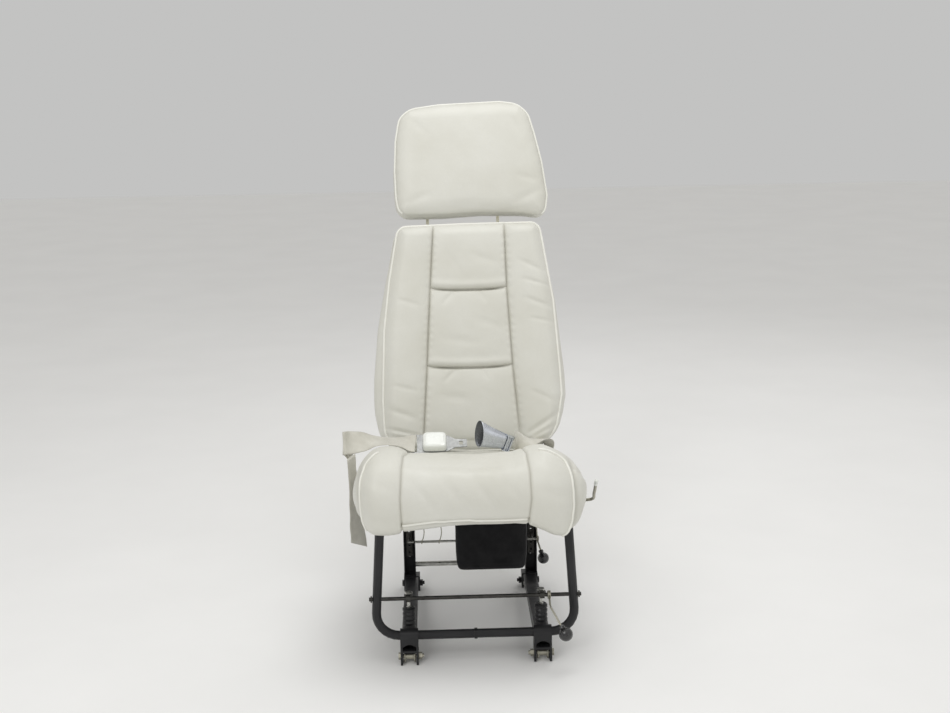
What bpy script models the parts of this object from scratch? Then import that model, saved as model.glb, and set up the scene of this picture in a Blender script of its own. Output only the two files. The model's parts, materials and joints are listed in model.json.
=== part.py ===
"""Aircraft crew seat on four track rollers, with a reclining backrest, a tilting pan, a sliding headrest and a
lap belt. Metres, +Z up, the occupant faces -Y, +X is the occupant's left and the viewer's right. The origin lies
on the floor below the middle of the seat.

The seat pan and the backrest each have a frame of their own: an empty on the axis about which they turn, with
its local Y along the pan towards the rear (or through the backrest, towards the rear) and its local Z square to
the pan (or along the backrest, upwards).
"""

import math

import bmesh
import bpy
from mathutils import Matrix, Vector

# Clearances
FIT = 0.0003  # between pieces that touch
RUN = 0.0006  # between pieces that turn or slide on each other

# Base
GAUGE = 0.275  # between the middles of the two tracks
WHEELBASE = 0.400
FRONT_Y = -0.279  # the front rollers' axis, and the plane of the U tube
TUBE_R = 0.0095
U_BEND_R = 0.047
U_CROSS_Z = 0.0605
SLEEVE_LENGTH = 0.006
SLEEVE_WALL = 0.0015
PIVOT_Z = 0.312  # the pan's front pivot
LEG_ABOVE_PIVOT = 0.0075

# Track brackets and rollers
BRACKET_WIDTH = 0.037
BRACKET_DEPTH = 0.034
EAR_THICKNESS = 0.0045
SADDLE_WALL = 0.0045
BAY_TOP = 0.0275  # the space for the roller ends here
SHELF_THICKNESS = 0.004
WINDOW_TOP = 0.045
REAR_BRACKET_TOP = 0.036
ROLLER_Z = 0.0145
ROLLER_R = 0.0125
ROLLER_HUB_R = 0.0072
ROLLER_FLANGE = 0.0032
ROLLER_WIDTH = 0.0235
AXLE_R = 0.004
HEX_R = 0.0075
NUT_LENGTH = 0.0065

# Rails, posts and the bars between them
RAIL_WIDTH = 0.030
RAIL_BOTTOM = 0.0285
RAIL_FRONT_TOP = 0.0600
RAIL_FLAT = 0.062  # the level stretch that carries the plunger housing
RAIL_WALL = 0.0025
POST_WIDTH = 0.027
POST_DEPTH = 0.026
POST_WALL = 0.002
POST_TOP = 0.190
REAR_TUBE_R = 0.006
REAR_TUBE_Z = 0.0610
TIE_R = 0.0045
TIE_Z = 0.176
TIE_AHEAD = 0.027  # ahead of the posts' middle

# Track release
TORQUE_R = 0.004
TORQUE_Z = 0.141
RELEASE_ARM = 0.036
RELEASE_TURN = math.radians(22.0)
RELEASE_ARM_THICKNESS = 0.003
PLUNGER_R = 0.005
PLUNGER_NECK_R = 0.0035
PLUNGER_TIP_Z = 0.010
PLUNGER_HEAD_R = 0.0080
PLUNGER_HEAD_HEIGHT = 0.0035
HOUSING_R = 0.0135
HOUSING_HEIGHT = 0.048
HOUSING_RIBS = 4
LEVER_THICKNESS = 0.003
LEVER_WIDTH = 0.0095
RELEASE_KNOB_AT = (0.1785, -0.0800, 0.0880)  # X, Y from the U tube's plane, Z
RELEASE_KNOB_R = 0.0143
TILT_KNOB_R = 0.0130

# Tilt latch
LATCH_R = 0.003
LATCH_Z = 0.130
LATCH_AHEAD = 0.040  # ahead of the posts' middle
TILT_KNOB_AT = (0.0105, -0.0380, -0.0330)  # from the lever's eye
SPRING_WIRE_R = 0.0011
SPRING_X = (-0.112, -0.072)
STRIP_WIDTH = 0.014
STRIP_THICKNESS = 0.004
STRIP_BELOW_PIVOT = 0.122
STRIP_HOLE_R = 0.003
STRIP_PITCH = 0.016
STRIP_PIN_R = 0.003

# Seat pan, in its own frame
PAN_SLOPE = math.radians(12.0)
PAN_HALF_WIDTH = 0.170
PAN_FRONT = -0.045
PAN_REAR = 0.385
PAN_TUBE_R = 0.008
PAN_BEND_R = 0.035
SHEET_THICKNESS = 0.0015
SHEET_DISH = 0.012
SHEET_OVERLAP = 0.004  # the sheet's flange past the middle of the tubes
PIVOT_BOLT_R = 0.004
CARRIER_R = 0.006  # the dropped cross tube that holds the lock cylinder
CARRIER_Y = 0.215
STRIP_PIVOT = (0.407, -0.022)  # Y, Z in the pan's frame
LUG_THICKNESS = 0.003
POUCH_X = (-0.036, 0.118)
POUCH_THICKNESS = 0.038
POUCH_HEIGHT = 0.136
POUCH_Y = 0.178

# Recline
BACK_SLOPE = math.radians(15.5)
BACK_PIVOT = (0.410, 0.030)  # Y, Z in the pan's frame
RECLINE = math.radians(20.0)
HINGE_PLATE = 0.004
CRANK_R = 0.055
CRANK_X = -0.090
CRANK_THICKNESS = 0.006
CRANK_PIN_R = 0.004
FORK_THICKNESS = 0.004
LOCK_BARREL_R = 0.011
LOCK_BARREL_LENGTH = 0.115
LOCK_ROD_R = 0.005
RECLINE_LEVER_Y = 0.296
RECLINE_LEVER_R = 0.0035
LEVER_TIP_R = 0.0045
LEVER_TIP_LENGTH = 0.022
SEAT_HALF_SPAN = 0.2755  # to the lever's tip on one side and to the belt's loop on the other

# Backrest, in its own frame
BACK_TUBE_R = 0.0095
SHELL_WALL = 0.0022
SHELL_INSET = 0.004
SHELL_RIM = 0.0225
BACK_TOP = 0.592
BACK_BOTTOM = 0.098
BACK_FRONT = -0.078
BACK_REAR = -0.0105
FRAME_TOP = 0.548
LOWER_TUBE_Z = 0.055

# Headrest
POST_HALF_SPAN = 0.082
HEAD_POST_R = 0.0035
HEAD_POST_BOTTOM = 0.420
HEAD_POST_TOP = 0.725
GUIDE_R = 0.0065
GUIDE_BOTTOM = 0.460
GUIDE_TOP = 0.5950
HEAD_BOTTOM = 0.6170
HEAD_TOP = 0.8770
HEAD_FRONT = -0.080
HEAD_REAR = 0.014

# Belt
WEBBING_WIDTH = 0.050
WEBBING_THICKNESS = 0.0022
BUCKLE_LENGTH = 0.064
BUCKLE_MOUTH = 0.062
BUCKLE_TAIL = 0.034
BUCKLE_ARCH = 0.013
BUCKLE_WALL = 0.0014

# Places that follow from the sizes above
REAR_Y = FRONT_Y + WHEELBASE
U_TOP_HALF_WIDTH = PAN_HALF_WIDTH + 0.020  # to the middle of a leg at the pan's pivot
U_HALF_WIDTH = U_TOP_HALF_WIDTH + 0.0135  # to the middle of a leg at the bend
TORQUE_END = U_HALF_WIDTH + 0.014
LEVER_X = GAUGE / 2 + 0.014
POST_HALF_GAUGE = GAUGE / 2 + 0.004
LATCH_END = POST_HALF_GAUGE + 0.0165
BACK_HALF_WIDTH = PAN_HALF_WIDTH - 0.010  # to the middle of the frame's tube at the pivot
SIDES = (("left", -1), ("right", 1))

seat = bpy.data.collections.new("crew_seat")
workshop = bpy.data.collections.new("workshop")
materials = {}


# Scene and materials


def clear_scene():
    for thing in list(bpy.data.objects):
        bpy.data.objects.remove(thing, do_unlink=True)
    bpy.context.scene.collection.children.link(seat)
    bpy.context.scene.collection.children.link(workshop)


def material(name, colour, roughness, metallic=0.0):
    made = bpy.data.materials.new(name)
    made.use_nodes = True
    shader = made.node_tree.nodes["Principled BSDF"]
    shader.inputs["Base Color"].default_value = (*colour, 1.0)
    shader.inputs["Roughness"].default_value = roughness
    shader.inputs["Metallic"].default_value = metallic
    materials[name] = made


def make_materials():
    material("black_paint", (0.012, 0.012, 0.013), 0.42)
    material("zinc_plate", (0.42, 0.41, 0.37), 0.38, 1.0)
    material("bright_steel", (0.62, 0.62, 0.62), 0.25, 1.0)
    material("pale_leather", (0.73, 0.73, 0.68), 0.55)
    material("webbing", (0.58, 0.57, 0.49), 0.85)
    material("black_fabric", (0.010, 0.010, 0.011), 0.90)
    material("black_plastic", (0.008, 0.008, 0.008), 0.22)
    material("white_plastic", (0.84, 0.85, 0.83), 0.20)
    material("blue_grey_metal", (0.40, 0.44, 0.52), 0.30, 1.0)
    material("cream_paint", (0.70, 0.68, 0.60), 0.35)


# Working solids: each function returns an object whose mesh lies in the frame of the piece being made


def working(mesh):
    made = bpy.data.objects.new("blank", mesh)
    workshop.objects.link(made)
    return made


def from_bmesh(bm):
    bmesh.ops.recalc_face_normals(bm, faces=bm.faces)
    if all(len(edge.link_faces) == 2 for edge in bm.edges) and bm.calc_volume(signed=True) < 0:
        bmesh.ops.reverse_faces(bm, faces=bm.faces)
    mesh = bpy.data.meshes.new("blank")
    bm.to_mesh(mesh)
    bm.free()
    return working(mesh)


def evaluated(source, weld=0.00001):
    """Turns an object with its modifiers, or a curve, into a plain welded mesh, and removes the source."""
    bpy.context.view_layer.update()
    graph = bpy.context.evaluated_depsgraph_get()
    mesh = bpy.data.meshes.new_from_object(source.evaluated_get(graph))
    bm = bmesh.new()
    bm.from_mesh(mesh)
    bmesh.ops.remove_doubles(bm, verts=bm.verts, dist=weld)
    bm.transform(source.matrix_world)
    bpy.data.objects.remove(source, do_unlink=True)
    return from_bmesh(bm)


def moved(shape, offset=(0, 0, 0), turn=None):
    if turn is not None:
        shape.data.transform(turn.to_4x4())
    shape.data.transform(Matrix.Translation(offset))
    return shape


def box(size, centre, rounding=0.0, segments=2):
    bm = bmesh.new()
    bmesh.ops.create_cube(bm, size=1.0)
    bmesh.ops.scale(bm, vec=size, verts=bm.verts)
    if rounding:
        bmesh.ops.bevel(bm, geom=bm.edges[:], offset=rounding, segments=segments, profile=0.5, affect="EDGES")
    bmesh.ops.translate(bm, vec=centre, verts=bm.verts)
    return from_bmesh(bm)


def rod(start, end, radius, segments=16, end_radius=None):
    """A cylinder between two points, or a cone where the end radius differs."""
    start, end = Vector(start), Vector(end)
    along = end - start
    bm = bmesh.new()
    bmesh.ops.create_cone(
        bm,
        cap_ends=True,
        segments=segments,
        radius1=radius,
        radius2=radius if end_radius is None else end_radius,
        depth=along.length,
    )
    turn = along.to_track_quat("Z", "X").to_matrix().to_4x4()
    bm.transform(Matrix.Translation((start + end) / 2) @ turn)
    return from_bmesh(bm)


def across(x, y, z, half_length, radius, segments=16):
    """A cylinder along X, centred on a point."""
    return rod((x - half_length, y, z), (x + half_length, y, z), radius, segments)


def turned(profile, base, axis, steps=18):
    """A profile of (radius, height) pairs, listed down its outer side, turned about an axis through the base."""
    mesh = bpy.data.meshes.new("profile")
    count = len(profile)
    mesh.from_pydata([(r, 0, h) for r, h in profile], [(i, i + 1) for i in range(count - 1)], [])
    shape = working(mesh)
    screw = shape.modifiers.new("turn", "SCREW")
    screw.steps = screw.render_steps = steps
    screw.use_merge_vertices = True
    screw.merge_threshold = 0.00001
    solid = evaluated(shape)
    return moved(solid, base, Vector(axis).to_track_quat("Z", "X").to_matrix())


def tube(points, radius, cyclic=False, resolution=2):
    """A round tube or wire through the points."""
    curve = bpy.data.curves.new("path", "CURVE")
    curve.dimensions = "3D"
    curve.bevel_depth = radius
    curve.bevel_resolution = resolution
    curve.use_fill_caps = not cyclic
    spline = curve.splines.new("POLY")
    spline.points.add(len(points) - 1)
    for place, point in zip(spline.points, points):
        place.co = (*point, 1.0)
    spline.use_cyclic_u = cyclic
    return evaluated(working(curve))


def bent(corners, radius, steps=6, cyclic=False):
    """A path with straight runs and round bends: each inner corner becomes an arc of the given radius."""
    corners = [Vector(c) for c in corners]
    count = len(corners)
    path = [] if cyclic else [corners[0]]
    for i in range(count) if cyclic else range(1, count - 1):
        corner = corners[i]
        before = (corners[i - 1] - corner).normalized()
        after = (corners[(i + 1) % count] - corner).normalized()
        half = before.angle(after) / 2
        reach = radius / math.tan(half)
        centre = corner + (before + after).normalized() * (radius / math.sin(half))
        start = corner + before * reach - centre
        end = corner + after * reach - centre
        path += [centre + start.slerp(end, k / steps).normalized() * radius for k in range(steps + 1)]
    if not cyclic:
        path.append(corners[-1])
    return path


def circle(u, v, radius, count=20):
    return [
        (u + radius * math.cos(math.tau * k / count), v + radius * math.sin(math.tau * k / count))
        for k in range(count)
    ]


def rounded(corners, radius, steps=4):
    """A closed flat outline with round corners."""
    path = bent([(u, v, 0) for u, v in corners], radius, steps, cyclic=True)
    return [(p.x, p.y) for p in path]


FACING_X = Matrix(((0, 0, 1), (1, 0, 0), (0, 1, 0)))  # outline (u, v) lies in (Y, Z), thickness along X
FACING_Y = Matrix(((1, 0, 0), (0, 0, -1), (0, 1, 0)))  # outline (u, v) lies in (X, Z), thickness along Y
FACING_Z = Matrix.Identity(3)  # outline (u, v) lies in (X, Y), thickness along Z


def plate(outlines, thickness, centre=(0, 0, 0), facing=FACING_X):
    """A flat plate: the first outline is its edge, the others are holes."""
    curve = bpy.data.curves.new("outline", "CURVE")
    curve.dimensions = "2D"
    curve.fill_mode = "BOTH"
    curve.extrude = thickness / 2
    for outline in outlines:
        spline = curve.splines.new("POLY")
        spline.points.add(len(outline) - 1)
        for place, (u, v) in zip(spline.points, outline):
            place.co = (u, v, 0.0, 1.0)
        spline.use_cyclic_u = True
    return moved(evaluated(working(curve)), centre, facing)


def loft(rings, closed=False):
    """A solid through rings of equally many points, with flat ends, or without ends where it closes on itself."""
    bm = bmesh.new()
    rows = [[bm.verts.new(p) for p in ring] for ring in rings]
    count = len(rows[0])
    pairs = list(zip(rows, rows[1:]))
    if closed:
        pairs.append((rows[-1], rows[0]))
    for low, high in pairs:
        for k in range(count):
            after = (k + 1) % count
            bm.faces.new((low[k], low[after], high[after], high[k]))
    if not closed:
        bm.faces.new(rows[0])
        bm.faces.new(rows[-1])
    bmesh.ops.triangulate(bm, faces=[f for f in bm.faces if len(f.verts) > 4])
    return from_bmesh(bm)


def strap(points, widths, width, thickness):
    """A flat strap along the points; each width direction says how the strap is turned there."""
    points = [Vector(p) for p in points]
    rings = []
    for i, (point, across_it) in enumerate(zip(points, widths)):
        along = (points[min(i + 1, len(points) - 1)] - points[max(i - 1, 0)]).normalized()
        side = Vector(across_it)
        side = (side - along * side.dot(along)).normalized() * (width / 2)
        face = along.cross(side).normalized() * (thickness / 2)
        rings.append([point + side + face, point - side + face, point - side - face, point + side - face])
    return loft(rings)


def smooth_path(points, steps):
    """A smooth curve through the points, by Catmull and Rom's rule."""
    points = [Vector(p) for p in points]
    ends = [points[0] * 2 - points[1], *points, points[-1] * 2 - points[-2]]
    path = []
    for a, b, c, d in zip(ends, ends[1:], ends[2:], ends[3:]):
        for k in range(steps):
            t = k / steps
            path.append(0.5 * (2 * b + (c - a) * t + (2 * a - 5 * b + 4 * c - d) * t**2 + (3 * b - a - 3 * c + d) * t**3))
    return [*path, points[-1]]


def combined(shape, others, operation):
    for other in others:
        boolean = shape.modifiers.new(operation.lower(), "BOOLEAN")
        boolean.operation = operation
        boolean.solver = "EXACT"
        boolean.object = other
        shape = evaluated(shape)
        bpy.data.objects.remove(other, do_unlink=True)
    return shape


def joined(shape, *others):
    return combined(shape, others, "UNION")


def cut(shape, *others):
    return combined(shape, others, "DIFFERENCE")


def part(name, shape, frame, look, sharp=30.0):
    """Names a finished solid, gives it its material and hangs it on its frame."""
    shape.name = shape.data.name = name
    workshop.objects.unlink(shape)
    seat.objects.link(shape)
    shape.data.materials.clear()
    shape.data.materials.append(materials[look])
    shape.data.shade_smooth()
    shape.data.set_sharp_from_angle(angle=math.radians(sharp))
    shape.parent = frame
    return shape


def frame_at(name, location, turn=0.0, parent=None):
    """An empty on a joint's axis, turned about X."""
    empty = bpy.data.objects.new(name, None)
    empty.empty_display_size = 0.05
    empty.location = location
    empty.rotation_euler = (turn, 0.0, 0.0)
    empty.parent = parent
    seat.objects.link(empty)
    return empty


# Base: U tube, brackets, rollers, rails, posts


def leg_x(z):
    """The middle of a leg of the U tube at height z: the legs splay outwards on their way down."""
    low = U_CROSS_Z + U_BEND_R
    share = (z - low) / (PIVOT_Z - low)
    return U_HALF_WIDTH + (U_TOP_HALF_WIDTH - U_HALF_WIDTH) * share


def front_u_tube(base):
    top_z = PIVOT_Z + LEG_ABOVE_PIVOT
    foot_x = leg_x(U_CROSS_Z)
    corners = [
        (-leg_x(top_z), FRONT_Y, top_z),
        (-foot_x, FRONT_Y, U_CROSS_Z),
        (foot_x, FRONT_Y, U_CROSS_Z),
        (leg_x(top_z), FRONT_Y, top_z),
    ]
    shape = tube(bent(corners, U_BEND_R, steps=7), TUBE_R, resolution=4)
    holes = []
    for _, side in SIDES:
        holes.append(across(side * leg_x(PIVOT_Z), FRONT_Y, PIVOT_Z, TUBE_R * 2, PIVOT_BOLT_R + FIT))
        holes.append(across(side * leg_x(TORQUE_Z), FRONT_Y, TORQUE_Z, TUBE_R * 2, TORQUE_R + FIT))
    part("front_u_tube", cut(shape, *holes), base, "black_paint")
    ring_r = TUBE_R + FIT
    outer_r = ring_r + SLEEVE_WALL
    half = SLEEVE_LENGTH / 2
    profile = [(ring_r, half), (outer_r, half), (outer_r, -half), (ring_r, -half), (ring_r, half)]
    part("tube_joint_ring", turned(profile, (0, FRONT_Y, U_CROSS_Z), (1, 0, 0)), base, "black_paint")


def bracket_outline(top, y, wide, saddle):
    """The side view of a track bracket: broad at the ears, and round over the tube where it has a saddle."""
    half = BRACKET_DEPTH / 2
    if not saddle:
        return rounded([(y - half, 0), (y + half, 0), (y + half, top), (y - half, top)], 0.003)
    shoulder = BAY_TOP + SHELF_THICKNESS
    points = rounded([(y - half, 0), (y + half, 0), (y + half, shoulder), (y - half, shoulder)], 0.003)
    points = [p for p in points if p[1] < shoulder - 0.0035]
    low = [p for p in points if p[1] < shoulder / 2]
    arc = [
        (y + wide * math.cos(math.pi * k / 12), U_CROSS_Z + wide * math.sin(math.pi * k / 12)) for k in range(13)
    ]
    return [*low, (y + half, shoulder - 0.003), (y + wide, shoulder + 0.004), *arc, (y - wide, shoulder + 0.004),
            (y - half, shoulder - 0.003)]


def bracket(name, side, y, base, front):
    """Two ears hold the roller's bolt below a shelf; the front ones reach up as a saddle round the U tube."""
    x = side * GAUGE / 2
    saddle_r = TUBE_R + FIT + SADDLE_WALL
    top = U_CROSS_Z + saddle_r if front else REAR_BRACKET_TOP
    shape = plate([bracket_outline(top, y, saddle_r, front)], BRACKET_WIDTH, (x, 0, 0))
    inner = BRACKET_WIDTH - 2 * EAR_THICKNESS
    deep = BRACKET_DEPTH * 2
    cutters = [box((inner, deep, BAY_TOP * 2), (x, y, 0))]
    if front:
        cutters.append(across(x, y, ROLLER_Z, BRACKET_WIDTH, AXLE_R + FIT))
        cutters.append(across(x, y, U_CROSS_Z, BRACKET_WIDTH, TUBE_R + FIT, 28))
        low = BAY_TOP + SHELF_THICKNESS
        arch = [(-inner / 2, low), (inner / 2, low), (inner / 2, WINDOW_TOP - 0.006)]
        arch += [(inner * (0.5 - k / 8), WINDOW_TOP - 0.006 + 0.006 * math.sin(math.pi * k / 8)) for k in range(1, 8)]
        arch.append((-inner / 2, WINDOW_TOP - 0.006))
        cutters.append(plate([arch], deep, (x, y, 0), FACING_Y))
    shape = cut(shape, *cutters)
    if not front:
        shape = joined(shape, axle_bolt(side, y, 0.0))
    part(name, shape, base, "black_paint")


def axle_bolt(side, y, gap):
    """A bolt with its hexagon head outboard and its nut inboard of the bracket; the rear ones are riveted in."""
    x = side * GAUGE / 2
    outer = x + side * (BRACKET_WIDTH / 2 + gap)
    inner = x - side * (BRACKET_WIDTH / 2 + gap)
    stub = inner - side * (NUT_LENGTH + 0.004)
    shank = rod((outer, y, ROLLER_Z), (stub, y, ROLLER_Z), AXLE_R)
    head = rod((outer, y, ROLLER_Z), (outer + side * 0.0045, y, ROLLER_Z), HEX_R, 6)
    nut = rod((inner, y, ROLLER_Z), (inner - side * NUT_LENGTH, y, ROLLER_Z), HEX_R, 6)
    return joined(shank, head, nut)


def roller(name, side, y, parent):
    """A spool with two flanges that run in the track, turning on the bolt."""
    half = ROLLER_WIDTH / 2
    bore = AXLE_R + RUN
    inside = half - ROLLER_FLANGE
    chamfer = 0.0008
    profile = [
        (bore, half),
        (ROLLER_R - chamfer, half),
        (ROLLER_R, half - chamfer),
        (ROLLER_R, inside + chamfer),
        (ROLLER_R - chamfer, inside),
        (ROLLER_HUB_R, inside),
        (ROLLER_HUB_R, -inside),
        (ROLLER_R - chamfer, -inside),
        (ROLLER_R, -inside - chamfer),
        (ROLLER_R, chamfer - half),
        (ROLLER_R - chamfer, -half),
        (bore, -half),
        (bore, half),
    ]
    frame = frame_at(name + "_axis", (side * GAUGE / 2, y, ROLLER_Z), parent=parent)
    part(name, turned(profile, (0, 0, 0), (1, 0, 0), 22), frame, "zinc_plate")


def brackets_and_rollers(base):
    for word, side in SIDES:
        bracket("front_bracket_" + word, side, FRONT_Y, base, True)
        bracket("rear_bracket_" + word, side, REAR_Y, base, False)
        part("front_axle_bolt_" + word, axle_bolt(side, FRONT_Y, FIT), base, "zinc_plate")
        for place, y in (("front", FRONT_Y), ("rear", REAR_Y)):
            roller(f"{place}_roller_{word}", side, y, base)


def side_rail(word, side, base):
    """A channel open below: level under the plunger housing, then falling to the rear bracket."""
    start = FRONT_Y + BRACKET_DEPTH / 2 + FIT
    end = REAR_Y - BRACKET_DEPTH / 2 - FIT
    rear_top = REAR_BRACKET_TOP - 0.001

    def outline(wall):
        low = RAIL_BOTTOM - (0.01 if wall else 0)
        a, b = start - (0.01 if wall else 0), end + (0.01 if wall else 0)
        return [(a, low), (b, low), (b, rear_top - wall), (start + RAIL_FLAT, RAIL_FRONT_TOP - wall),
                (a, RAIL_FRONT_TOP - wall)]

    x = side * GAUGE / 2
    shape = plate([outline(0)], RAIL_WIDTH, (x, 0, 0))
    inside = plate([outline(RAIL_WALL)], RAIL_WIDTH - 2 * RAIL_WALL, (x, 0, 0))
    hole = rod((x, plunger_y(), 0), (x, plunger_y(), 0.1), PLUNGER_R + RUN)
    part("side_rail_" + word, cut(shape, inside, hole), base, "black_paint")


def plunger_y():
    return FRONT_Y + RELEASE_ARM * math.cos(RELEASE_TURN / 2)


def rear_post(word, side, base):
    """A channel open to the front, in which the pan's strip runs, with an ear for the latch rod and tie bar."""
    x = side * POST_HALF_GAUGE
    bottom = REAR_BRACKET_TOP + FIT
    height = POST_TOP - bottom
    middle = (POST_TOP + bottom) / 2
    shape = box((POST_WIDTH, POST_DEPTH, height), (x, REAR_Y, middle))
    room = POST_DEPTH - POST_WALL
    inside = box(
        (POST_WIDTH - 2 * POST_WALL, POST_DEPTH, height * 2),
        (x, REAR_Y - POST_DEPTH + room / 2 + (POST_DEPTH - POST_WALL) / 2 - POST_WALL / 2, middle),
    )
    inner_wall = x - side * (POST_WIDTH - POST_WALL) / 2
    front = REAR_Y - POST_DEPTH / 2
    ahead = REAR_Y - LATCH_AHEAD - 0.009
    ear_outline = rounded(
        [(ahead, LATCH_Z - 0.010), (front + 0.004, LATCH_Z - 0.014), (front + 0.004, POST_TOP),
         (REAR_Y - TIE_AHEAD - 0.009, POST_TOP), (ahead, LATCH_Z + 0.010)],
        0.0035,
    )
    ear = plate(
        [ear_outline, circle(REAR_Y - LATCH_AHEAD, LATCH_Z, LATCH_R + RUN),
         circle(REAR_Y - TIE_AHEAD, TIE_Z, TIE_R + FIT)],
        POST_WALL,
        (inner_wall, 0, 0),
    )
    foot = box((POST_WIDTH, POST_DEPTH - 2 * POST_WALL, POST_WALL), (x, REAR_Y, bottom + POST_WALL / 2))
    slots = [
        rod((x, REAR_Y, z), (x, REAR_Y + POST_DEPTH, z), 0.0045, 16)
        for z in (POST_TOP - 0.02 - 0.03 * k for k in range(4))
    ]
    part("rear_post_" + word, joined(cut(shape, inside, *slots), ear, foot), base, "black_paint")


def rear_bars(base):
    inner = POST_HALF_GAUGE - POST_WIDTH / 2 - FIT
    part("rear_cross_tube", across(0, REAR_Y, REAR_TUBE_Z, inner, REAR_TUBE_R), base, "bright_steel")
    reach = POST_HALF_GAUGE - POST_WIDTH / 2 + POST_WALL + 0.004
    part("rear_tie_bar", across(0, REAR_Y - TIE_AHEAD, TIE_Z, reach, TIE_R), base, "black_paint")


# Track release: torque rod, lever and the two lock plungers


def torque_parts(base):
    frame = frame_at("track_release_axis", (0, FRONT_Y, TORQUE_Z), parent=base)
    rod_shape = across(0, 0, 0, TORQUE_END, TORQUE_R, 16)
    pieces = []
    tip_y = RELEASE_ARM * math.cos(RELEASE_TURN / 2)
    tip_z = -RELEASE_ARM * math.sin(RELEASE_TURN / 2)
    slot = PLUNGER_NECK_R + 0.0010
    for _, side in SIDES:
        x = side * GAUGE / 2
        hub = across(x, 0, 0, 0.0045, TORQUE_R + 0.0035, 20)
        arm_path = [(x, TORQUE_R, -0.001), (x, tip_y / 2, tip_z / 2), (x, tip_y + 0.008, tip_z * 1.2)]
        arm = strap(arm_path, [(1, 0, 0)] * 3, 0.018, RELEASE_ARM_THICKNESS)
        mouth = box((2 * slot, 0.024, 0.02), (x, tip_y + 0.012 - slot, tip_z))
        pieces += [hub, cut(arm, mouth)]
        outside = leg_x(TORQUE_Z) + TUBE_R + 0.0008
        pieces.append(across(side * (outside + 0.0015), 0, 0, 0.0012, TORQUE_R + 0.003, 16))
    part("torque_rod", joined(rod_shape, *pieces), frame, "zinc_plate")

    eye = cut(
        across(LEVER_X, 0, 0, LEVER_THICKNESS, TORQUE_R + 0.0045, 20),
        across(LEVER_X, 0, 0, 0.02, TORQUE_R + FIT, 20),
    )
    knob = Vector(RELEASE_KNOB_AT) - Vector((0, 0, TORQUE_Z))
    start = Vector((LEVER_X, -TORQUE_R - 0.002, -0.002))
    bend = Vector((LEVER_X, -0.026, -0.014))
    direction = (knob - bend).normalized()
    neck = knob - direction * (RELEASE_KNOB_R + 0.0065)
    arm_path = [start, bend - Vector((0, -0.006, -0.003)), bend + direction * 0.006, neck]
    arm = strap(arm_path, [(0, 0.5, -1), (0, 0.5, -1), (0.6, 0.3, -1), (0.6, 0.3, -1)], LEVER_WIDTH, LEVER_THICKNESS)
    part("release_lever", joined(eye, arm), frame, "zinc_plate")
    part("release_knob", ball_knob(knob, direction, RELEASE_KNOB_R), frame, "black_plastic")


def ball_knob(centre, direction, radius):
    """A ball with a short ferrule towards its lever."""
    reach = 0.0062
    throat = 0.0045
    start = math.asin(throat / radius)
    profile = [(0.0, radius)]
    profile += [
        (radius * math.sin(a), radius * math.cos(a)) for a in (math.pi * k / 12 for k in range(1, 12)) if a < math.pi - start
    ]
    profile += [(throat, -radius * math.cos(start)), (throat + 0.001, -radius - reach + 0.003)]
    profile += [(throat + 0.001, -radius - reach), (0.0, -radius - reach)]
    return turned(profile, centre, direction, 24)


def plunger(word, side, base):
    """A ribbed housing on the rail, and the lock plunger that the arm lifts by its head."""
    x = side * GAUGE / 2
    y = plunger_y()
    low = RAIL_FRONT_TOP + FIT
    bore = PLUNGER_R + RUN
    profile = [(bore, HOUSING_HEIGHT), (HOUSING_R - 0.003, HOUSING_HEIGHT)]
    pitch = (HOUSING_HEIGHT - 0.008) / HOUSING_RIBS
    for k in range(HOUSING_RIBS):
        top = HOUSING_HEIGHT - 0.002 - k * pitch
        profile += [(HOUSING_R, top - 0.001), (HOUSING_R, top - pitch * 0.55), (HOUSING_R - 0.0022, top - pitch * 0.7)]
    profile += [(HOUSING_R, 0.0035), (HOUSING_R, 0.0), (bore, 0.0), (bore, HOUSING_HEIGHT)]
    part("plunger_housing_" + word, turned(profile, (x, y, low), (0, 0, 1), 18), base, "black_paint")
    arm_z = TORQUE_Z - RELEASE_ARM * math.sin(RELEASE_TURN / 2)
    head = arm_z + RELEASE_ARM_THICKNESS / 2 + 0.0022 - PLUNGER_TIP_Z
    shoulder = low + HOUSING_HEIGHT + 0.002 - PLUNGER_TIP_Z
    top = head + PLUNGER_HEAD_HEIGHT
    profile = [
        (0.0, top),
        (PLUNGER_HEAD_R - 0.001, top),
        (PLUNGER_HEAD_R, top - 0.001),
        (PLUNGER_HEAD_R, head),
        (PLUNGER_NECK_R, head),
        (PLUNGER_NECK_R, shoulder),
        (PLUNGER_R, shoulder - 0.0015),
        (PLUNGER_R, 0.003),
        (PLUNGER_R - 0.0015, 0.0),
        (0.0, 0.0),
    ]
    frame = frame_at("plunger_axis_" + word, (x, y, PLUNGER_TIP_Z), parent=base)
    part("lock_plunger_" + word, turned(profile, (0, 0, 0), (0, 0, 1), 20), frame, "bright_steel")


# Tilt latch: thin rod with two fingers, lever, and the bowed return springs


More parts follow.
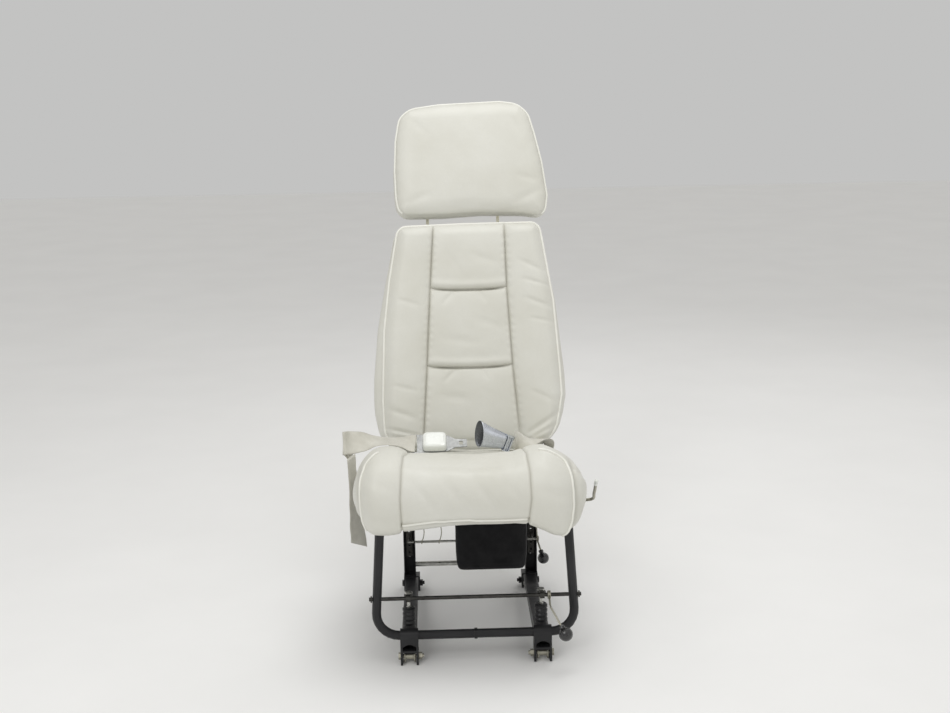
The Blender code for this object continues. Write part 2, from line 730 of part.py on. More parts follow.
def latch_parts(base):
    y = REAR_Y - LATCH_AHEAD
    frame = frame_at("tilt_latch_axis", (0, y, LATCH_Z), parent=base)
    shape = rod((-POST_HALF_GAUGE - 0.003, 0, 0), (LATCH_END, 0, 0), LATCH_R, 16)
    strip_face = strip_y() - STRIP_THICKNESS / 2 - y
    fingers = []
    for _, side in SIDES:
        x = side * POST_HALF_GAUGE
        fingers.append(rod((x, 0, 0), (x, strip_face - RUN, 0), LATCH_R * 0.85, 12))
    part("latch_rod", joined(shape, *fingers), frame, "bright_steel")
    x = LATCH_END - 0.0035
    eye = cut(across(x, 0, 0, 0.0025, LATCH_R + 0.004, 20), across(x, 0, 0, 0.02, LATCH_R + FIT, 16))
    knob = Vector(TILT_KNOB_AT) + Vector((x, 0, 0))
    bend = Vector((x, -0.010, -0.003))
    direction = (knob - bend).normalized()
    neck = knob - direction * (TILT_KNOB_R + 0.0065)
    arm = strap([(x, -0.0052, -0.001), bend, bend.lerp(neck, 0.5), neck], [(0, 0.6, -1)] * 4, 0.007, 0.0025)
    tail = strap([(x, 0.001, 0.0050), (x - 0.001, 0.003, 0.018), (x - 0.002, 0.004, 0.032)], [(0, 1, 0)] * 3, 0.007, 0.0025)
    part("tilt_lever", joined(eye, arm, tail), frame, "zinc_plate")
    part("tilt_knob", ball_knob(knob, direction, TILT_KNOB_R), frame, "black_plastic")


def return_spring(number, x, base):
    """A bowed wire hooked under the latch rod and over the tie bar."""
    low_r = LATCH_R + FIT + SPRING_WIRE_R
    high_r = TIE_R + FIT + SPRING_WIRE_R
    low = (REAR_Y - LATCH_AHEAD, LATCH_Z)
    high = (REAR_Y - TIE_AHEAD, TIE_Z)
    bow = 0.006
    points = []
    for k in range(8):
        angle = math.radians(30 - 210 * k / 7)
        points.append((x, low[0] + low_r * math.cos(angle), low[1] + low_r * math.sin(angle)))
    for k in range(1, 6):
        t = k / 6
        y = low[0] - low_r + (high[0] - high_r - low[0] + low_r) * t
        points.append((x + bow * math.sin(math.pi * t), y, low[1] + (high[1] - low[1]) * t))
    for k in range(8):
        angle = math.radians(180 - 200 * k / 7)
        points.append((x, high[0] + high_r * math.cos(angle), high[1] + high_r * math.sin(angle)))
    part(f"return_spring_{number}", tube(points, SPRING_WIRE_R, resolution=2), base, "zinc_plate")


def strip_y():
    """Where the strips hang: below their pivots in the tilted pan."""
    y, z = STRIP_PIVOT
    return FRONT_Y + y * math.cos(PAN_SLOPE) + z * math.sin(PAN_SLOPE)


def adjusting_strip(word, side, pan):
    """A perforated strip that hangs upright from its pin and runs in the rear post."""
    frame = frame_at("strip_axis_" + word, (side * POST_HALF_GAUGE, *STRIP_PIVOT), PAN_SLOPE, pan)
    half = STRIP_WIDTH / 2
    top = -STRIP_PIN_R - 0.001
    outline = rounded([(-half, -STRIP_BELOW_PIVOT), (half, -STRIP_BELOW_PIVOT), (half, top), (-half, top)], 0.002, 3)
    holes = []
    count = int((STRIP_BELOW_PIVOT - 0.03) / STRIP_PITCH)
    for k in range(count):
        holes.append(circle(0, -STRIP_BELOW_PIVOT + 0.010 + k * STRIP_PITCH, STRIP_HOLE_R, 14))
    shape = plate([outline, *holes], STRIP_THICKNESS, facing=FACING_Y)
    eye = across(0, 0, 0, half, STRIP_PIN_R + 0.0028, 18)
    pin = across(0, 0, 0, half + RUN + LUG_THICKNESS, STRIP_PIN_R, 18)
    part("adjusting_strip_" + word, joined(shape, eye, pin), frame, "zinc_plate")


# Seat pan: frame, sheet, bolts and pouch


def lock_height():
    """The lock cylinder's axis in the pan's frame: where the crank's pin passes below the backrest's pivot."""
    return BACK_PIVOT[1] - CRANK_R * math.cos(RECLINE / 2)


def pan_frame(pan):
    corners = [
        (-PAN_HALF_WIDTH, PAN_FRONT, 0),
        (PAN_HALF_WIDTH, PAN_FRONT, 0),
        (PAN_HALF_WIDTH, PAN_REAR, 0),
        (-PAN_HALF_WIDTH, PAN_REAR, 0),
    ]
    shape = tube(bent(corners, PAN_BEND_R, 5, cyclic=True), PAN_TUBE_R, cyclic=True)
    low = lock_height()
    drop = [
        (-PAN_HALF_WIDTH, CARRIER_Y, 0),
        (-PAN_HALF_WIDTH + 0.034, CARRIER_Y, low),
        (PAN_HALF_WIDTH - 0.034, CARRIER_Y, low),
        (PAN_HALF_WIDTH, CARRIER_Y, 0),
    ]
    pieces = [tube(bent(drop, 0.015, 4), CARRIER_R, resolution=2)]
    pivot_y, pivot_z = STRIP_PIVOT
    for _, side in SIDES:
        for ear in (-1, 1):
            x = side * POST_HALF_GAUGE + ear * (STRIP_WIDTH / 2 + RUN + LUG_THICKNESS / 2)
            outline = rounded(
                [(PAN_REAR - 0.007, 0.0), (PAN_REAR + 0.007, 0.0), (pivot_y + 0.0075, pivot_z - 0.0075),
                 (pivot_y - 0.0085, pivot_z - 0.0075)],
                0.003,
            )
            lug = plate([outline, circle(pivot_y, pivot_z, STRIP_PIN_R + RUN, 18)], LUG_THICKNESS, (x, 0, 0))
            pieces.append(lug)
    holes = []
    for _, side in SIDES:
        x = side * PAN_HALF_WIDTH
        holes.append(across(x, 0, 0, PAN_TUBE_R * 2, PIVOT_BOLT_R + FIT))
    holes.append(across(PAN_HALF_WIDTH, RECLINE_LEVER_Y, 0, PAN_TUBE_R * 2, 0.004 + RUN))
    part("pan_frame", cut(joined(shape, *pieces), *holes), pan, "black_paint")


def pan_sheet(pan):
    """A pressed sheet: a flange on the tubes, a dished middle and round lightening holes."""
    top = PAN_TUBE_R + FIT
    inner = PAN_HALF_WIDTH + SHEET_OVERLAP
    steps = [(0.0, 0.0), (0.022, 0.0), (0.036, -SHEET_DISH * 0.75), (0.050, -SHEET_DISH)]
    rings = []
    for inset, drop in steps:
        w = inner - inset
        front = PAN_FRONT - SHEET_OVERLAP + inset
        rear = PAN_REAR + SHEET_OVERLAP - inset
        outline = rounded([(-w, front), (w, front), (w, rear), (-w, rear)], PAN_BEND_R - 0.4 * inset, 4)
        rings.append([(x, y, top + drop) for x, y in outline])
    bm = bmesh.new()
    rows = [[bm.verts.new(p) for p in ring] for ring in rings]
    count = len(rows[0])
    for outer, inside in zip(rows, rows[1:]):
        for k in range(count):
            after = (k + 1) % count
            bm.faces.new((outer[k], outer[after], inside[after], inside[k]))
    bmesh.ops.triangulate(bm, faces=[bm.faces.new(rows[-1])])
    shape = from_bmesh(bm)
    wall = shape.modifiers.new("wall", "SOLIDIFY")
    wall.thickness = SHEET_THICKNESS
    wall.offset = 1.0 if shape.data.polygons[-1].normal.z > 0 else -1.0
    sheet = evaluated(shape)
    holes = []
    for y in (0.055, 0.175, 0.295):
        for x in (-PAN_HALF_WIDTH / 2, 0.0, PAN_HALF_WIDTH / 2):
            holes.append(rod((x, y, -0.05), (x, y, 0.05), 0.026, 16))
    part("pan_sheet", cut(sheet, *holes), pan, "black_paint")


def through_bolt(head_x, nut_x, collar, side, radius):
    """A bolt along X with a hexagon head outside, a nut inside, and a spacing collar between two given X."""
    shank = rod((side * (head_x + 0.001), 0, 0), (side * (nut_x - 0.0085), 0, 0), radius)
    head = rod((side * head_x, 0, 0), (side * (head_x + 0.005), 0, 0), radius + 0.0035, 6)
    washer = rod((side * head_x, 0, 0), (side * (head_x + 0.0014), 0, 0), radius + 0.0045, 18)
    nut = rod((side * nut_x, 0, 0), (side * (nut_x - 0.0065), 0, 0), radius + 0.0035, 6)
    pieces = [head, washer, nut]
    if collar[0] - collar[1] > 0.0008:
        pieces.append(rod((side * collar[0], 0, 0), (side * collar[1], 0, 0), radius + 0.003, 18))
    return joined(shank, *pieces)


def pan_bolts(pan):
    for word, side in SIDES:
        leg = leg_x(PIVOT_Z)
        splay = 0.0016
        collar = (leg - TUBE_R - splay, PAN_HALF_WIDTH + PAN_TUBE_R + FIT)
        bolt = through_bolt(leg + TUBE_R + splay, PAN_HALF_WIDTH - PAN_TUBE_R - FIT, collar, side, PIVOT_BOLT_R)
        part("pan_pivot_bolt_" + word, bolt, pan, "zinc_plate")


def stowage_pouch(pan):
    """A soft pouch that hangs upright from the sheet: its middle moves back in the tilted frame as it goes down."""
    middle = (POUCH_X[0] + POUCH_X[1]) / 2
    half = (POUCH_X[1] - POUCH_X[0]) / 2
    top = PAN_TUBE_R - SHEET_DISH
    rings = []
    for share, wide, thick in (
        (0.0, 0.97, 0.55),
        (0.05, 1.0, 0.75),
        (0.35, 1.0, 0.95),
        (0.7, 0.995, 1.0),
        (0.88, 0.97, 0.9),
        (0.97, 0.92, 0.62),
        (1.0, 0.86, 0.35),
    ):
        z = top - share * POUCH_HEIGHT
        y = POUCH_Y - z * math.tan(PAN_SLOPE)
        rings.append([(middle + u, y + v, z) for u, v in soft_ring(half * wide, POUCH_THICKNESS / 2 * thick, 4.0, 20)])
    part("stowage_pouch", loft(rings), pan, "black_fabric", 60)


def soft_ring(half_u, half_v, power, count):
    """A rounded rectangle: a superellipse of the given power."""
    ring = []
    for k in range(count):
        angle = math.tau * (k + 0.5) / count
        c, s = math.cos(angle), math.sin(angle)
        ring.append((
            half_u * math.copysign(abs(c) ** (2 / power), c),
            half_v * math.copysign(abs(s) ** (2 / power), s),
        ))
    return ring


# Seat cushion


CUSHION_HALF_WIDTH = 0.235
CUSHION_SEAT = 0.0103  # the underside, on the pan's sheet
# The side view of the middle, from the rear of the underside forwards round the nose and back over the top
CUSHION_SIDE = [
    (0.340, 0.000), (0.240, 0.000), (0.130, 0.000), (0.040, 0.000), (-0.030, 0.000), (-0.0540, 0.000),
    (-0.0590, -0.016), (-0.074, -0.021), (-0.090, -0.014), (-0.102, 0.010), (-0.107, 0.040), (-0.104, 0.070),
    (-0.092, 0.098), (-0.070, 0.119), (-0.040, 0.131), (0.000, 0.134), (0.050, 0.126), (0.110, 0.111),
    (0.170, 0.098), (0.240, 0.090), (0.300, 0.092), (0.330, 0.090), (0.344, 0.080), (0.347, 0.050),
]


def seat_cushion(pan):
    """The side view carried across the seat: raised bolsters, a nose that hangs lower at the sides, round ends."""
    stations = [0.0, 0.30, 0.55, 0.72, 0.84, 0.92, 0.97, 1.0]
    stations = [-s for s in reversed(stations[1:])] + stations
    centre_y, centre_z = 0.12, 0.055
    rings = []
    for s in stations:
        edge = max(0.0, (abs(s) - 0.72) / 0.28)
        shrink = math.sqrt(max(0.0, 1 - (0.93 * edge) ** 2.6))
        bolster = 0.010 * math.exp(-(((abs(s) - 0.64) / 0.17) ** 2)) - 0.004 * (1 - abs(s)) ** 2
        nose = 0.022 * (abs(s) ** 2 - 0.35)
        ring = []
        for y, z in CUSHION_SIDE:
            if z > 0.085:
                z += bolster
            if y < -0.055 and z < 0.02:
                z -= nose
            pull = 1 - (1 - shrink) * (1.0 if z > 0.001 or y < -0.05 else 0.0)
            y_out = centre_y + (y - centre_y) * (0.5 + 0.5 * pull if y > centre_y else 0.80 + 0.20 * pull)
            if z > 0.0005 or y < -0.055:
                z = centre_z + (z - centre_z) * pull if z > centre_z or y < -0.055 else z
            ring.append((s * CUSHION_HALF_WIDTH, min(y_out, y) if y > centre_y else max(y_out, y), z + CUSHION_SEAT))
        rings.append(ring)
    part("seat_cushion", loft(rings), pan, "pale_leather", 60)


# Backrest


def back_half_width(z):
    """Half the backrest's width at height z: broad above the seat, narrower at the shoulders."""
    points = [(0.098, 0.192), (0.135, 0.205), (0.180, 0.2160), (0.235, 0.2155), (0.33, 0.207), (0.45, 0.188),
              (0.550, 0.169), (0.597, 0.160)]
    for (z0, w0), (z1, w1) in zip(points, points[1:]):
        if z <= z1:
            return w0 + (w1 - w0) * max(0.0, (z - z0) / (z1 - z0))
    return points[-1][1]


def head_half_width(z):
    """Half the headrest's width: a trapezoid, broad below."""
    share = (z - HEAD_BOTTOM) / (HEAD_TOP - HEAD_BOTTOM)
    return 0.1735 - 0.0375 * share


def back_outline(inset, corner, steps=3):
    """The backrest seen from the front, drawn in by an inset, with round corners."""
    heights = [BACK_BOTTOM + inset, 0.14, 0.185, 0.235, 0.33, 0.45, BACK_TOP - inset]
    right = [(back_half_width(z) - inset, z) for z in heights]
    left = [(-x, z) for x, z in reversed(right)]
    corners = [(x, z, 0) for x, z in right + left]
    path = []
    count = len(corners)
    for i in range(count):
        here = Vector(corners[i])
        if i in (0, len(right) - 1, len(right), count - 1):
            trio = [corners[i - 1], corners[i], corners[(i + 1) % count]]
            path += bent(trio, corner, steps)[1:-1]
        else:
            path.append(here)
    return [(p.x, p.y) for p in path]


def pillow(levels, half_width, front, rear, bottom, top, roundness, power, count=24):
    """A cushion between a flat rear and a crowned front, as rings across it from bottom to top."""
    rings = []
    for share in levels:
        z = bottom + (top - bottom) * share
        end = min(share, 1 - share) * (top - bottom)
        soft = min(1.0, end / roundness)
        tuck = math.sqrt(max(0.0, 1 - (1 - soft) ** 2))
        wide = half_width(z) - (1 - tuck) * roundness * 0.9
        deep = (rear - front) * (0.42 + 0.58 * tuck)
        middle = rear - deep / 2
        rings.append([(u, middle + v, z) for u, v in soft_ring(wide, deep / 2, power, count)])
    return loft(rings)


def back_parts(back):
    levels = [0.0, 0.012, 0.035, 0.07, 0.13, 0.22, 0.34, 0.48, 0.62, 0.76, 0.87, 0.94, 0.975, 0.992, 1.0]
    cushion = pillow(levels, back_half_width, BACK_FRONT, BACK_REAR, BACK_BOTTOM, BACK_TOP, 0.030, 5.0)
    part("back_cushion", cushion, back, "pale_leather", 60)

    knee = 0.20
    corners = [
        (-BACK_HALF_WIDTH, 0, -BACK_TUBE_R - 0.003),
        (-BACK_HALF_WIDTH, 0, BACK_BOTTOM + 0.01),
        (-BACK_HALF_WIDTH - 0.022, 0, knee),
        (-POST_HALF_SPAN - 0.046, 0, FRAME_TOP),
        (POST_HALF_SPAN + 0.046, 0, FRAME_TOP),
        (BACK_HALF_WIDTH + 0.022, 0, knee),
        (BACK_HALF_WIDTH, 0, BACK_BOTTOM + 0.01),
        (BACK_HALF_WIDTH, 0, -BACK_TUBE_R - 0.003),
    ]
    shape = tube(bent(corners, 0.040, 5), BACK_TUBE_R)
    turn = Matrix.Rotation(BACK_SLOPE - PAN_SLOPE, 3, "X")
    pin = turn @ Vector((0, CRANK_R * math.sin(RECLINE / 2), -CRANK_R * math.cos(RECLINE / 2)))
    lower = across(0, 0, LOWER_TUBE_Z, BACK_HALF_WIDTH, BACK_TUBE_R)
    crank_outline = [
        (-0.010, LOWER_TUBE_Z + 0.004), (-0.0085, 0.002), (pin.y - 0.0085, pin.z), (pin.y - 0.0060, pin.z - 0.0060),
        (pin.y, pin.z - 0.0085), (pin.y + 0.0060, pin.z - 0.0060), (pin.y + 0.0085, pin.z), (0.014, 0.010),
        (0.010, LOWER_TUBE_Z + 0.004),
    ]
    crank = plate([list(reversed(crank_outline))], CRANK_THICKNESS, (CRANK_X, 0, 0))
    half_pin = CRANK_THICKNESS / 2 + RUN + FORK_THICKNESS + 0.002
    crank_pin = across(CRANK_X, pin.y, pin.z, half_pin, CRANK_PIN_R, 16)
    guides = []
    for _, side in SIDES:
        x = side * POST_HALF_SPAN
        guides.append(rod((x, 0, GUIDE_BOTTOM), (x, 0, GUIDE_TOP), GUIDE_R))
    frame_shape = joined(shape, lower, crank, crank_pin, *guides)
    holes = []
    for _, side in SIDES:
        holes.append(across(side * BACK_HALF_WIDTH, 0, 0, BACK_TUBE_R * 2, PIVOT_BOLT_R + RUN))
        x = side * POST_HALF_SPAN
        holes.append(rod((x, 0, GUIDE_BOTTOM - 0.02), (x, 0, GUIDE_TOP + 0.02), HEAD_POST_R + RUN))
    part("back_frame", cut(frame_shape, *holes), back, "black_paint")
    back_shell(back)


def back_shell(back):
    """A moulded tray behind the frame: a rim that wraps forward, a rolled edge and a slightly crowned back."""
    front = BACK_REAR + 0.0015
    rear = front + SHELL_RIM
    bulge = 0.008
    steps = [(0.0, front, 0.030), (0.0005, rear - 0.007, 0.030), (0.005, rear - 0.001, 0.028), (0.014, rear, 0.024),
             (0.050, rear + bulge * 0.45, 0.020), (0.110, rear + bulge, 0.016)]
    rings = []
    for inset, y, corner in steps:
        rings.append([(x, y, z) for x, z in back_outline(SHELL_INSET + inset, corner)])
    bm = bmesh.new()
    rows = [[bm.verts.new(p) for p in ring] for ring in rings]
    count = len(rows[0])
    for outer, inside in zip(rows, rows[1:]):
        for k in range(count):
            after = (k + 1) % count
            bm.faces.new((outer[k], outer[after], inside[after], inside[k]))
    bmesh.ops.triangulate(bm, faces=[bm.faces.new(rows[-1])])
    shape = from_bmesh(bm)
    wall = shape.modifiers.new("wall", "SOLIDIFY")
    wall.thickness = SHELL_WALL
    wall.offset = -1.0 if shape.data.polygons[-1].normal.y > 0 else 1.0
    shell = evaluated(shape)
    holes = []
    for _, side in SIDES:
        x = side * BACK_HALF_WIDTH
        holes.append(rod((x, 0, 0), (x, 0, BACK_BOTTOM + 0.03), BACK_TUBE_R + 0.0015, 24))
        x = side * POST_HALF_SPAN
        holes.append(rod((x, 0, FRAME_TOP), (x, 0, BACK_TOP + 0.05), GUIDE_R + 0.0006))
    part("back_shell", cut(shell, *holes), back, "pale_leather", 40)


def hinge_parts(pan):
    """Plates bolted to the pan's side tubes carry the backrest's pivot bolts."""
    y, z = BACK_PIVOT
    inner = PAN_HALF_WIDTH + PAN_TUBE_R + FIT
    second = PAN_REAR - PAN_BEND_R - 0.010
    first = second - 0.022
    for word, side in SIDES:
        outline = rounded([(first - 0.010, -0.009), (second + 0.014, -0.009), (y + 0.0145, z - 0.010),
                           (y + 0.0145, z + 0.0145), (y - 0.0145, z + 0.0145), (second + 0.012, 0.0095),
                           (first - 0.010, 0.0095)], 0.006, 4)
        shape = plate([outline, circle(y, z, PIVOT_BOLT_R + FIT)], HINGE_PLATE, (side * (inner + HINGE_PLATE / 2), 0, 0))
        bolts = []
        for bolt_y in (first, second):
            start = side * (inner + HINGE_PLATE / 2)
            bolts.append(rod((start, bolt_y, 0), (side * (inner + HINGE_PLATE + 0.0045), bolt_y, 0), 0.0055, 6))
        part("hinge_bracket_" + word, joined(shape, *bolts), pan, "black_paint")
        collar = (inner - FIT, BACK_HALF_WIDTH + BACK_TUBE_R + FIT)
        bolt = through_bolt(inner + HINGE_PLATE + FIT, BACK_HALF_WIDTH - BACK_TUBE_R - FIT, collar, side, PIVOT_BOLT_R)
        part("recline_pivot_bolt_" + word, moved(bolt, (0, y, z)), pan, "zinc_plate")


def lock_parts(pan):
    """A hydraulic lock: its barrel hangs on the carrier, its forked rod takes the crank's pin in upright slots."""
    z = lock_height()
    start = CARRIER_Y + CARRIER_R + 0.008
    end = start + LOCK_BARREL_LENGTH
    half_travel = CRANK_R * math.sin(RECLINE / 2)
    pin_y = BACK_PIVOT[0] + half_travel
    barrel = rod((CRANK_X, start, z), (CRANK_X, end, z), LOCK_BARREL_R, 24)
    collar = rod((CRANK_X, end - 0.012, z), (CRANK_X, end - 0.004, z), LOCK_BARREL_R + 0.0015, 24)
    eye = across(CRANK_X, CARRIER_Y, z, 0.006, CARRIER_R + 0.0045, 20)
    neck = box((0.010, 0.016, 0.012), (CRANK_X, start - 0.004, z))
    travel = 2 * half_travel
    inside = pin_y - 0.016 - 0.086
    bore = rod((CRANK_X, inside - travel - 0.006, z), (CRANK_X, end + 0.01, z), LOCK_ROD_R + RUN)
    eye_hole = across(CRANK_X, CARRIER_Y, z, 0.02, CARRIER_R + FIT, 20)
    shape = cut(joined(barrel, collar, eye, neck), bore, eye_hole)
    part("recline_lock_cylinder", shape, pan, "zinc_plate")

    frame = frame_at("lock_rod_axis", (CRANK_X, pin_y, z), parent=pan)
    gap = CRANK_THICKNESS / 2 + RUN
    drop = CRANK_R * (1 - math.cos(RECLINE / 2))
    hole = CRANK_PIN_R + RUN
    slot = [(hole * math.cos(a), hole * math.sin(a)) for a in (math.pi * k / 10 for k in range(11))]
    slot += [(hole * math.cos(a), -drop + hole * math.sin(a)) for a in (math.pi + math.pi * k / 10 for k in range(11))]
    outline = rounded([(-0.018, -0.0085), (0.0085, -0.0095), (0.0085, 0.0085), (-0.018, 0.0085)], 0.004)
    cheeks = [
        plate([outline, slot], FORK_THICKNESS, (s * (gap + FORK_THICKNESS / 2), 0, 0)) for s in (-1, 1)
    ]
    yoke = box((2 * (gap + FORK_THICKNESS), 0.005, 0.015), (0, -0.0175, 0))
    stem = rod((0, -0.016, 0), (0, -0.016 - 0.086, 0), LOCK_ROD_R)
    part("recline_lock_rod", joined(stem, yoke, *cheeks), frame, "bright_steel")


def recline_lever(pan):
    """A bent rod beside the pan: its stub turns in the side tube, and a pale sleeve covers its tip."""
    frame = frame_at("recline_lever_axis", (PAN_HALF_WIDTH, RECLINE_LEVER_Y, 0), parent=pan)
    face = PAN_TUBE_R + FIT
    stub = rod((-PAN_TUBE_R - 0.003, 0, 0), (face + 0.004, 0, 0), 0.004, 18)
    hub = rod((face, 0, 0), (face + 0.008, 0, 0), 0.0085, 20)
    reach = SEAT_HALF_SPAN - LEVER_TIP_R - PAN_HALF_WIDTH
    corners = [
        (face + 0.004, 0, 0),
        (face + 0.030, -0.004, -0.0035),
        (reach - 0.004, -0.022, -0.002),
        (reach, -0.058, 0.016),
        (reach, -0.094, 0.038),
    ]
    arm = tube(smooth_path(corners, 4), RECLINE_LEVER_R, resolution=2)
    end, before = Vector(corners[-1]), Vector(corners[-2])
    part("recline_lever", joined(stub, hub, arm), frame, "zinc_plate")
    direction = (end - before).normalized()
    start = end + direction * FIT
    profile = [(0.0, LEVER_TIP_LENGTH), (LEVER_TIP_R * 0.6, LEVER_TIP_LENGTH - 0.0006),
               (LEVER_TIP_R, LEVER_TIP_LENGTH - 0.003), (LEVER_TIP_R, 0.0015), (LEVER_TIP_R - 0.001, 0.0), (0.0, 0.0)]
    part("recline_lever_tip", turned(profile, start, direction, 18), frame, "white_plastic")


# Headrest


def headrest(back):
    frame = frame_at("headrest_axis", (0, 0, HEAD_BOTTOM), parent=back)

    def post_path(radius):
        corners = [(-POST_HALF_SPAN, 0, HEAD_POST_BOTTOM - HEAD_BOTTOM), (-POST_HALF_SPAN, 0, HEAD_POST_TOP - HEAD_BOTTOM),
                   (POST_HALF_SPAN, 0, HEAD_POST_TOP - HEAD_BOTTOM), (POST_HALF_SPAN, 0, HEAD_POST_BOTTOM - HEAD_BOTTOM)]
        return tube(bent(corners, 0.020, 5), radius, resolution=2)

    part("headrest_posts", post_path(HEAD_POST_R), frame, "cream_paint")
    levels = [0.0, 0.02, 0.06, 0.12, 0.22, 0.36, 0.5, 0.64, 0.78, 0.88, 0.94, 0.975, 0.992, 1.0]
    shape = pillow(levels, head_half_width, HEAD_FRONT, HEAD_REAR, HEAD_BOTTOM, HEAD_TOP, 0.034, 4.5)
    shape = moved(shape, (0, 0, -HEAD_BOTTOM))
    part("headrest_cushion", cut(shape, post_path(HEAD_POST_R + FIT)), frame, "pale_leather", 60)


# Lap belt


# The left strap from the tongue over the bolster, round its loop and down to the anchor's slot: place, width direction
STRAP_LEFT = [
    ((-0.1281, 0.2268, 0.1377), (0, 1, 1)),
    ((-0.150, 0.2250, 0.1440), (0, 1, 1)),
    ((-0.185, 0.2200, 0.1480), (0, 0.9, 1)),
    ((-0.222, 0.2110, 0.1480), (0, 0.6, 1)),
    ((-0.252, 0.1990, 0.1455), (0, 0.3, 1)),
    ((-0.2695, 0.1890, 0.1440), (0, 0.1, 1)),
    ((-0.2730, 0.1950, 0.1430), (0, 0.0, 1)),
    ((-0.2690, 0.2080, 0.1360), (0, 0.2, 1)),
    ((-0.2600, 0.2300, 0.1100), (0, 0.7, 0.7)),
    ((-0.2520, 0.2500, 0.0700), (0, 1, 0.3)),
    ((-0.2450, 0.2640, 0.0280), (0, 1, 0.2)),
    ((-0.2300, 0.2740, -0.0120), (0, 1, 0.1)),
    ((-0.2060, 0.2720, -0.0300), (0, 1, 0)),
    ((-0.1860, 0.2730, -0.0340), (0, 1, 0)),
    ((-0.1700, 0.2730, -0.0340), (0, 1, 0)),
]
# The right strap from the buckle's bar over the seat and down inside the hinge bracket, where a clamp holds it
STRAP_RIGHT = [
    ((0.0982, 0.2306, 0.1251), (-0.36, 0.10, -0.92)),
    ((0.1060, 0.2400, 0.1330), (-0.3, -0.3, -0.8)),
    ((0.1260, 0.2580, 0.1375), (-0.2, -0.9, -0.35)),
    ((0.1480, 0.2880, 0.1345), (0.7, -0.9, 0)),
    ((0.1640, 0.3180, 0.1318), (0.7, -0.7, 0)),
    ((0.1735, 0.3470, 0.1235), (0.35, -0.94, 0)),
    ((0.1767, 0.3740, 0.1040), (0, -1, 0)),
    ((0.1769, 0.3770, 0.0600), (0, -1, 0)),
    ((0.1769, 0.3770, 0.0145), (0, -1, 0)),
]
TONGUE_AT = (-0.075, 0.2268, 0.1340)
TONGUE_LEAN = math.radians(45.0)
TONGUE_THICKNESS = 0.002
BUCKLE_AT = (0.081, 0.2285, 0.1310)
BUCKLE_TILT = math.radians(21.0)
BUCKLE_PIN_R = 0.0022


def belt(name, points, pan):
    shape = strap([p for p, _ in points], [w for _, w in points], WEBBING_WIDTH, WEBBING_THICKNESS)
    part(name, shape, pan, "webbing", 50)


def strap_tail(pan):
    """The loose end of the left strap: it leaves the loop, hangs beside the seat and ends in a slanted cut."""
    fall = math.tan(PAN_SLOPE)
    x = -0.2585
    high, low = 0.1130, -0.0950
    y = 0.1560
    points = []
    for share in (0.0, 0.25, 0.5, 0.75, 1.0):
        z = high + (low - high) * share
        points.append((x + 0.014 * share, y - z * fall, z))
    shape = strap(points, [(0.75, 1, 0)] * 5, WEBBING_WIDTH * 0.98, WEBBING_THICKNESS)
    corner = box((0.2, 0.2, 0.05), (0, 0, 0))
    turn = Matrix.Rotation(math.radians(38.0), 3, "Y")
    end = points[-1]
    corner = moved(corner, (end[0] - 0.030, end[1], end[2] - 0.018), turn)
    part("strap_tail", cut(shape, corner), pan, "webbing", 50)


def belt_anchors(pan):
    """The left anchor is a slotted plate below the side tube; the right one clamps the strap to the bracket."""
    face = PAN_HALF_WIDTH + PAN_TUBE_R + FIT
    slot_y, slot_z = STRAP_LEFT[-1][0][1:]
    half = WEBBING_WIDTH / 2 + 0.001
    high = WEBBING_THICKNESS / 2 + 0.0012
    outline = rounded([(slot_y - 0.031, slot_z - 0.011), (slot_y + 0.031, slot_z - 0.011), (slot_y + 0.031, 0.003),
                       (slot_y + 0.020, 0.0092), (slot_y - 0.020, 0.0092), (slot_y - 0.031, 0.003)], 0.004)
    slot = [(slot_y - half, slot_z - high), (slot_y + half, slot_z - high), (slot_y + half, slot_z + high),
            (slot_y - half, slot_z + high)]
    shape = plate([outline, slot], 0.003, (-face - 0.0015, 0, 0))
    bolts = [rod((-face - 0.002, slot_y + s * 0.012, 0), (-face - 0.0075, slot_y + s * 0.012, 0), 0.0055, 6) for s in (-1, 1)]
    part("belt_anchor_left", joined(shape, *bolts), pan, "zinc_plate")
    x, y, z = STRAP_RIGHT[-1][0]
    inner = x - WEBBING_THICKNESS / 2 - FIT
    clamp = box((0.0026, 0.036, 0.022), (inner - 0.0013, y - 0.003, z + 0.016), 0.0008)
    head = rod((inner - 0.001, y - 0.003, z + 0.016), (inner - 0.0056, y - 0.003, z + 0.016), 0.0055, 6)
    part("belt_anchor_right", joined(clamp, head), pan, "zinc_plate")


def placed_frame(name, location, axes, parent):
    empty = frame_at(name, location, parent=parent)
    empty.rotation_euler = Matrix(axes).transposed().to_euler()
    return empty


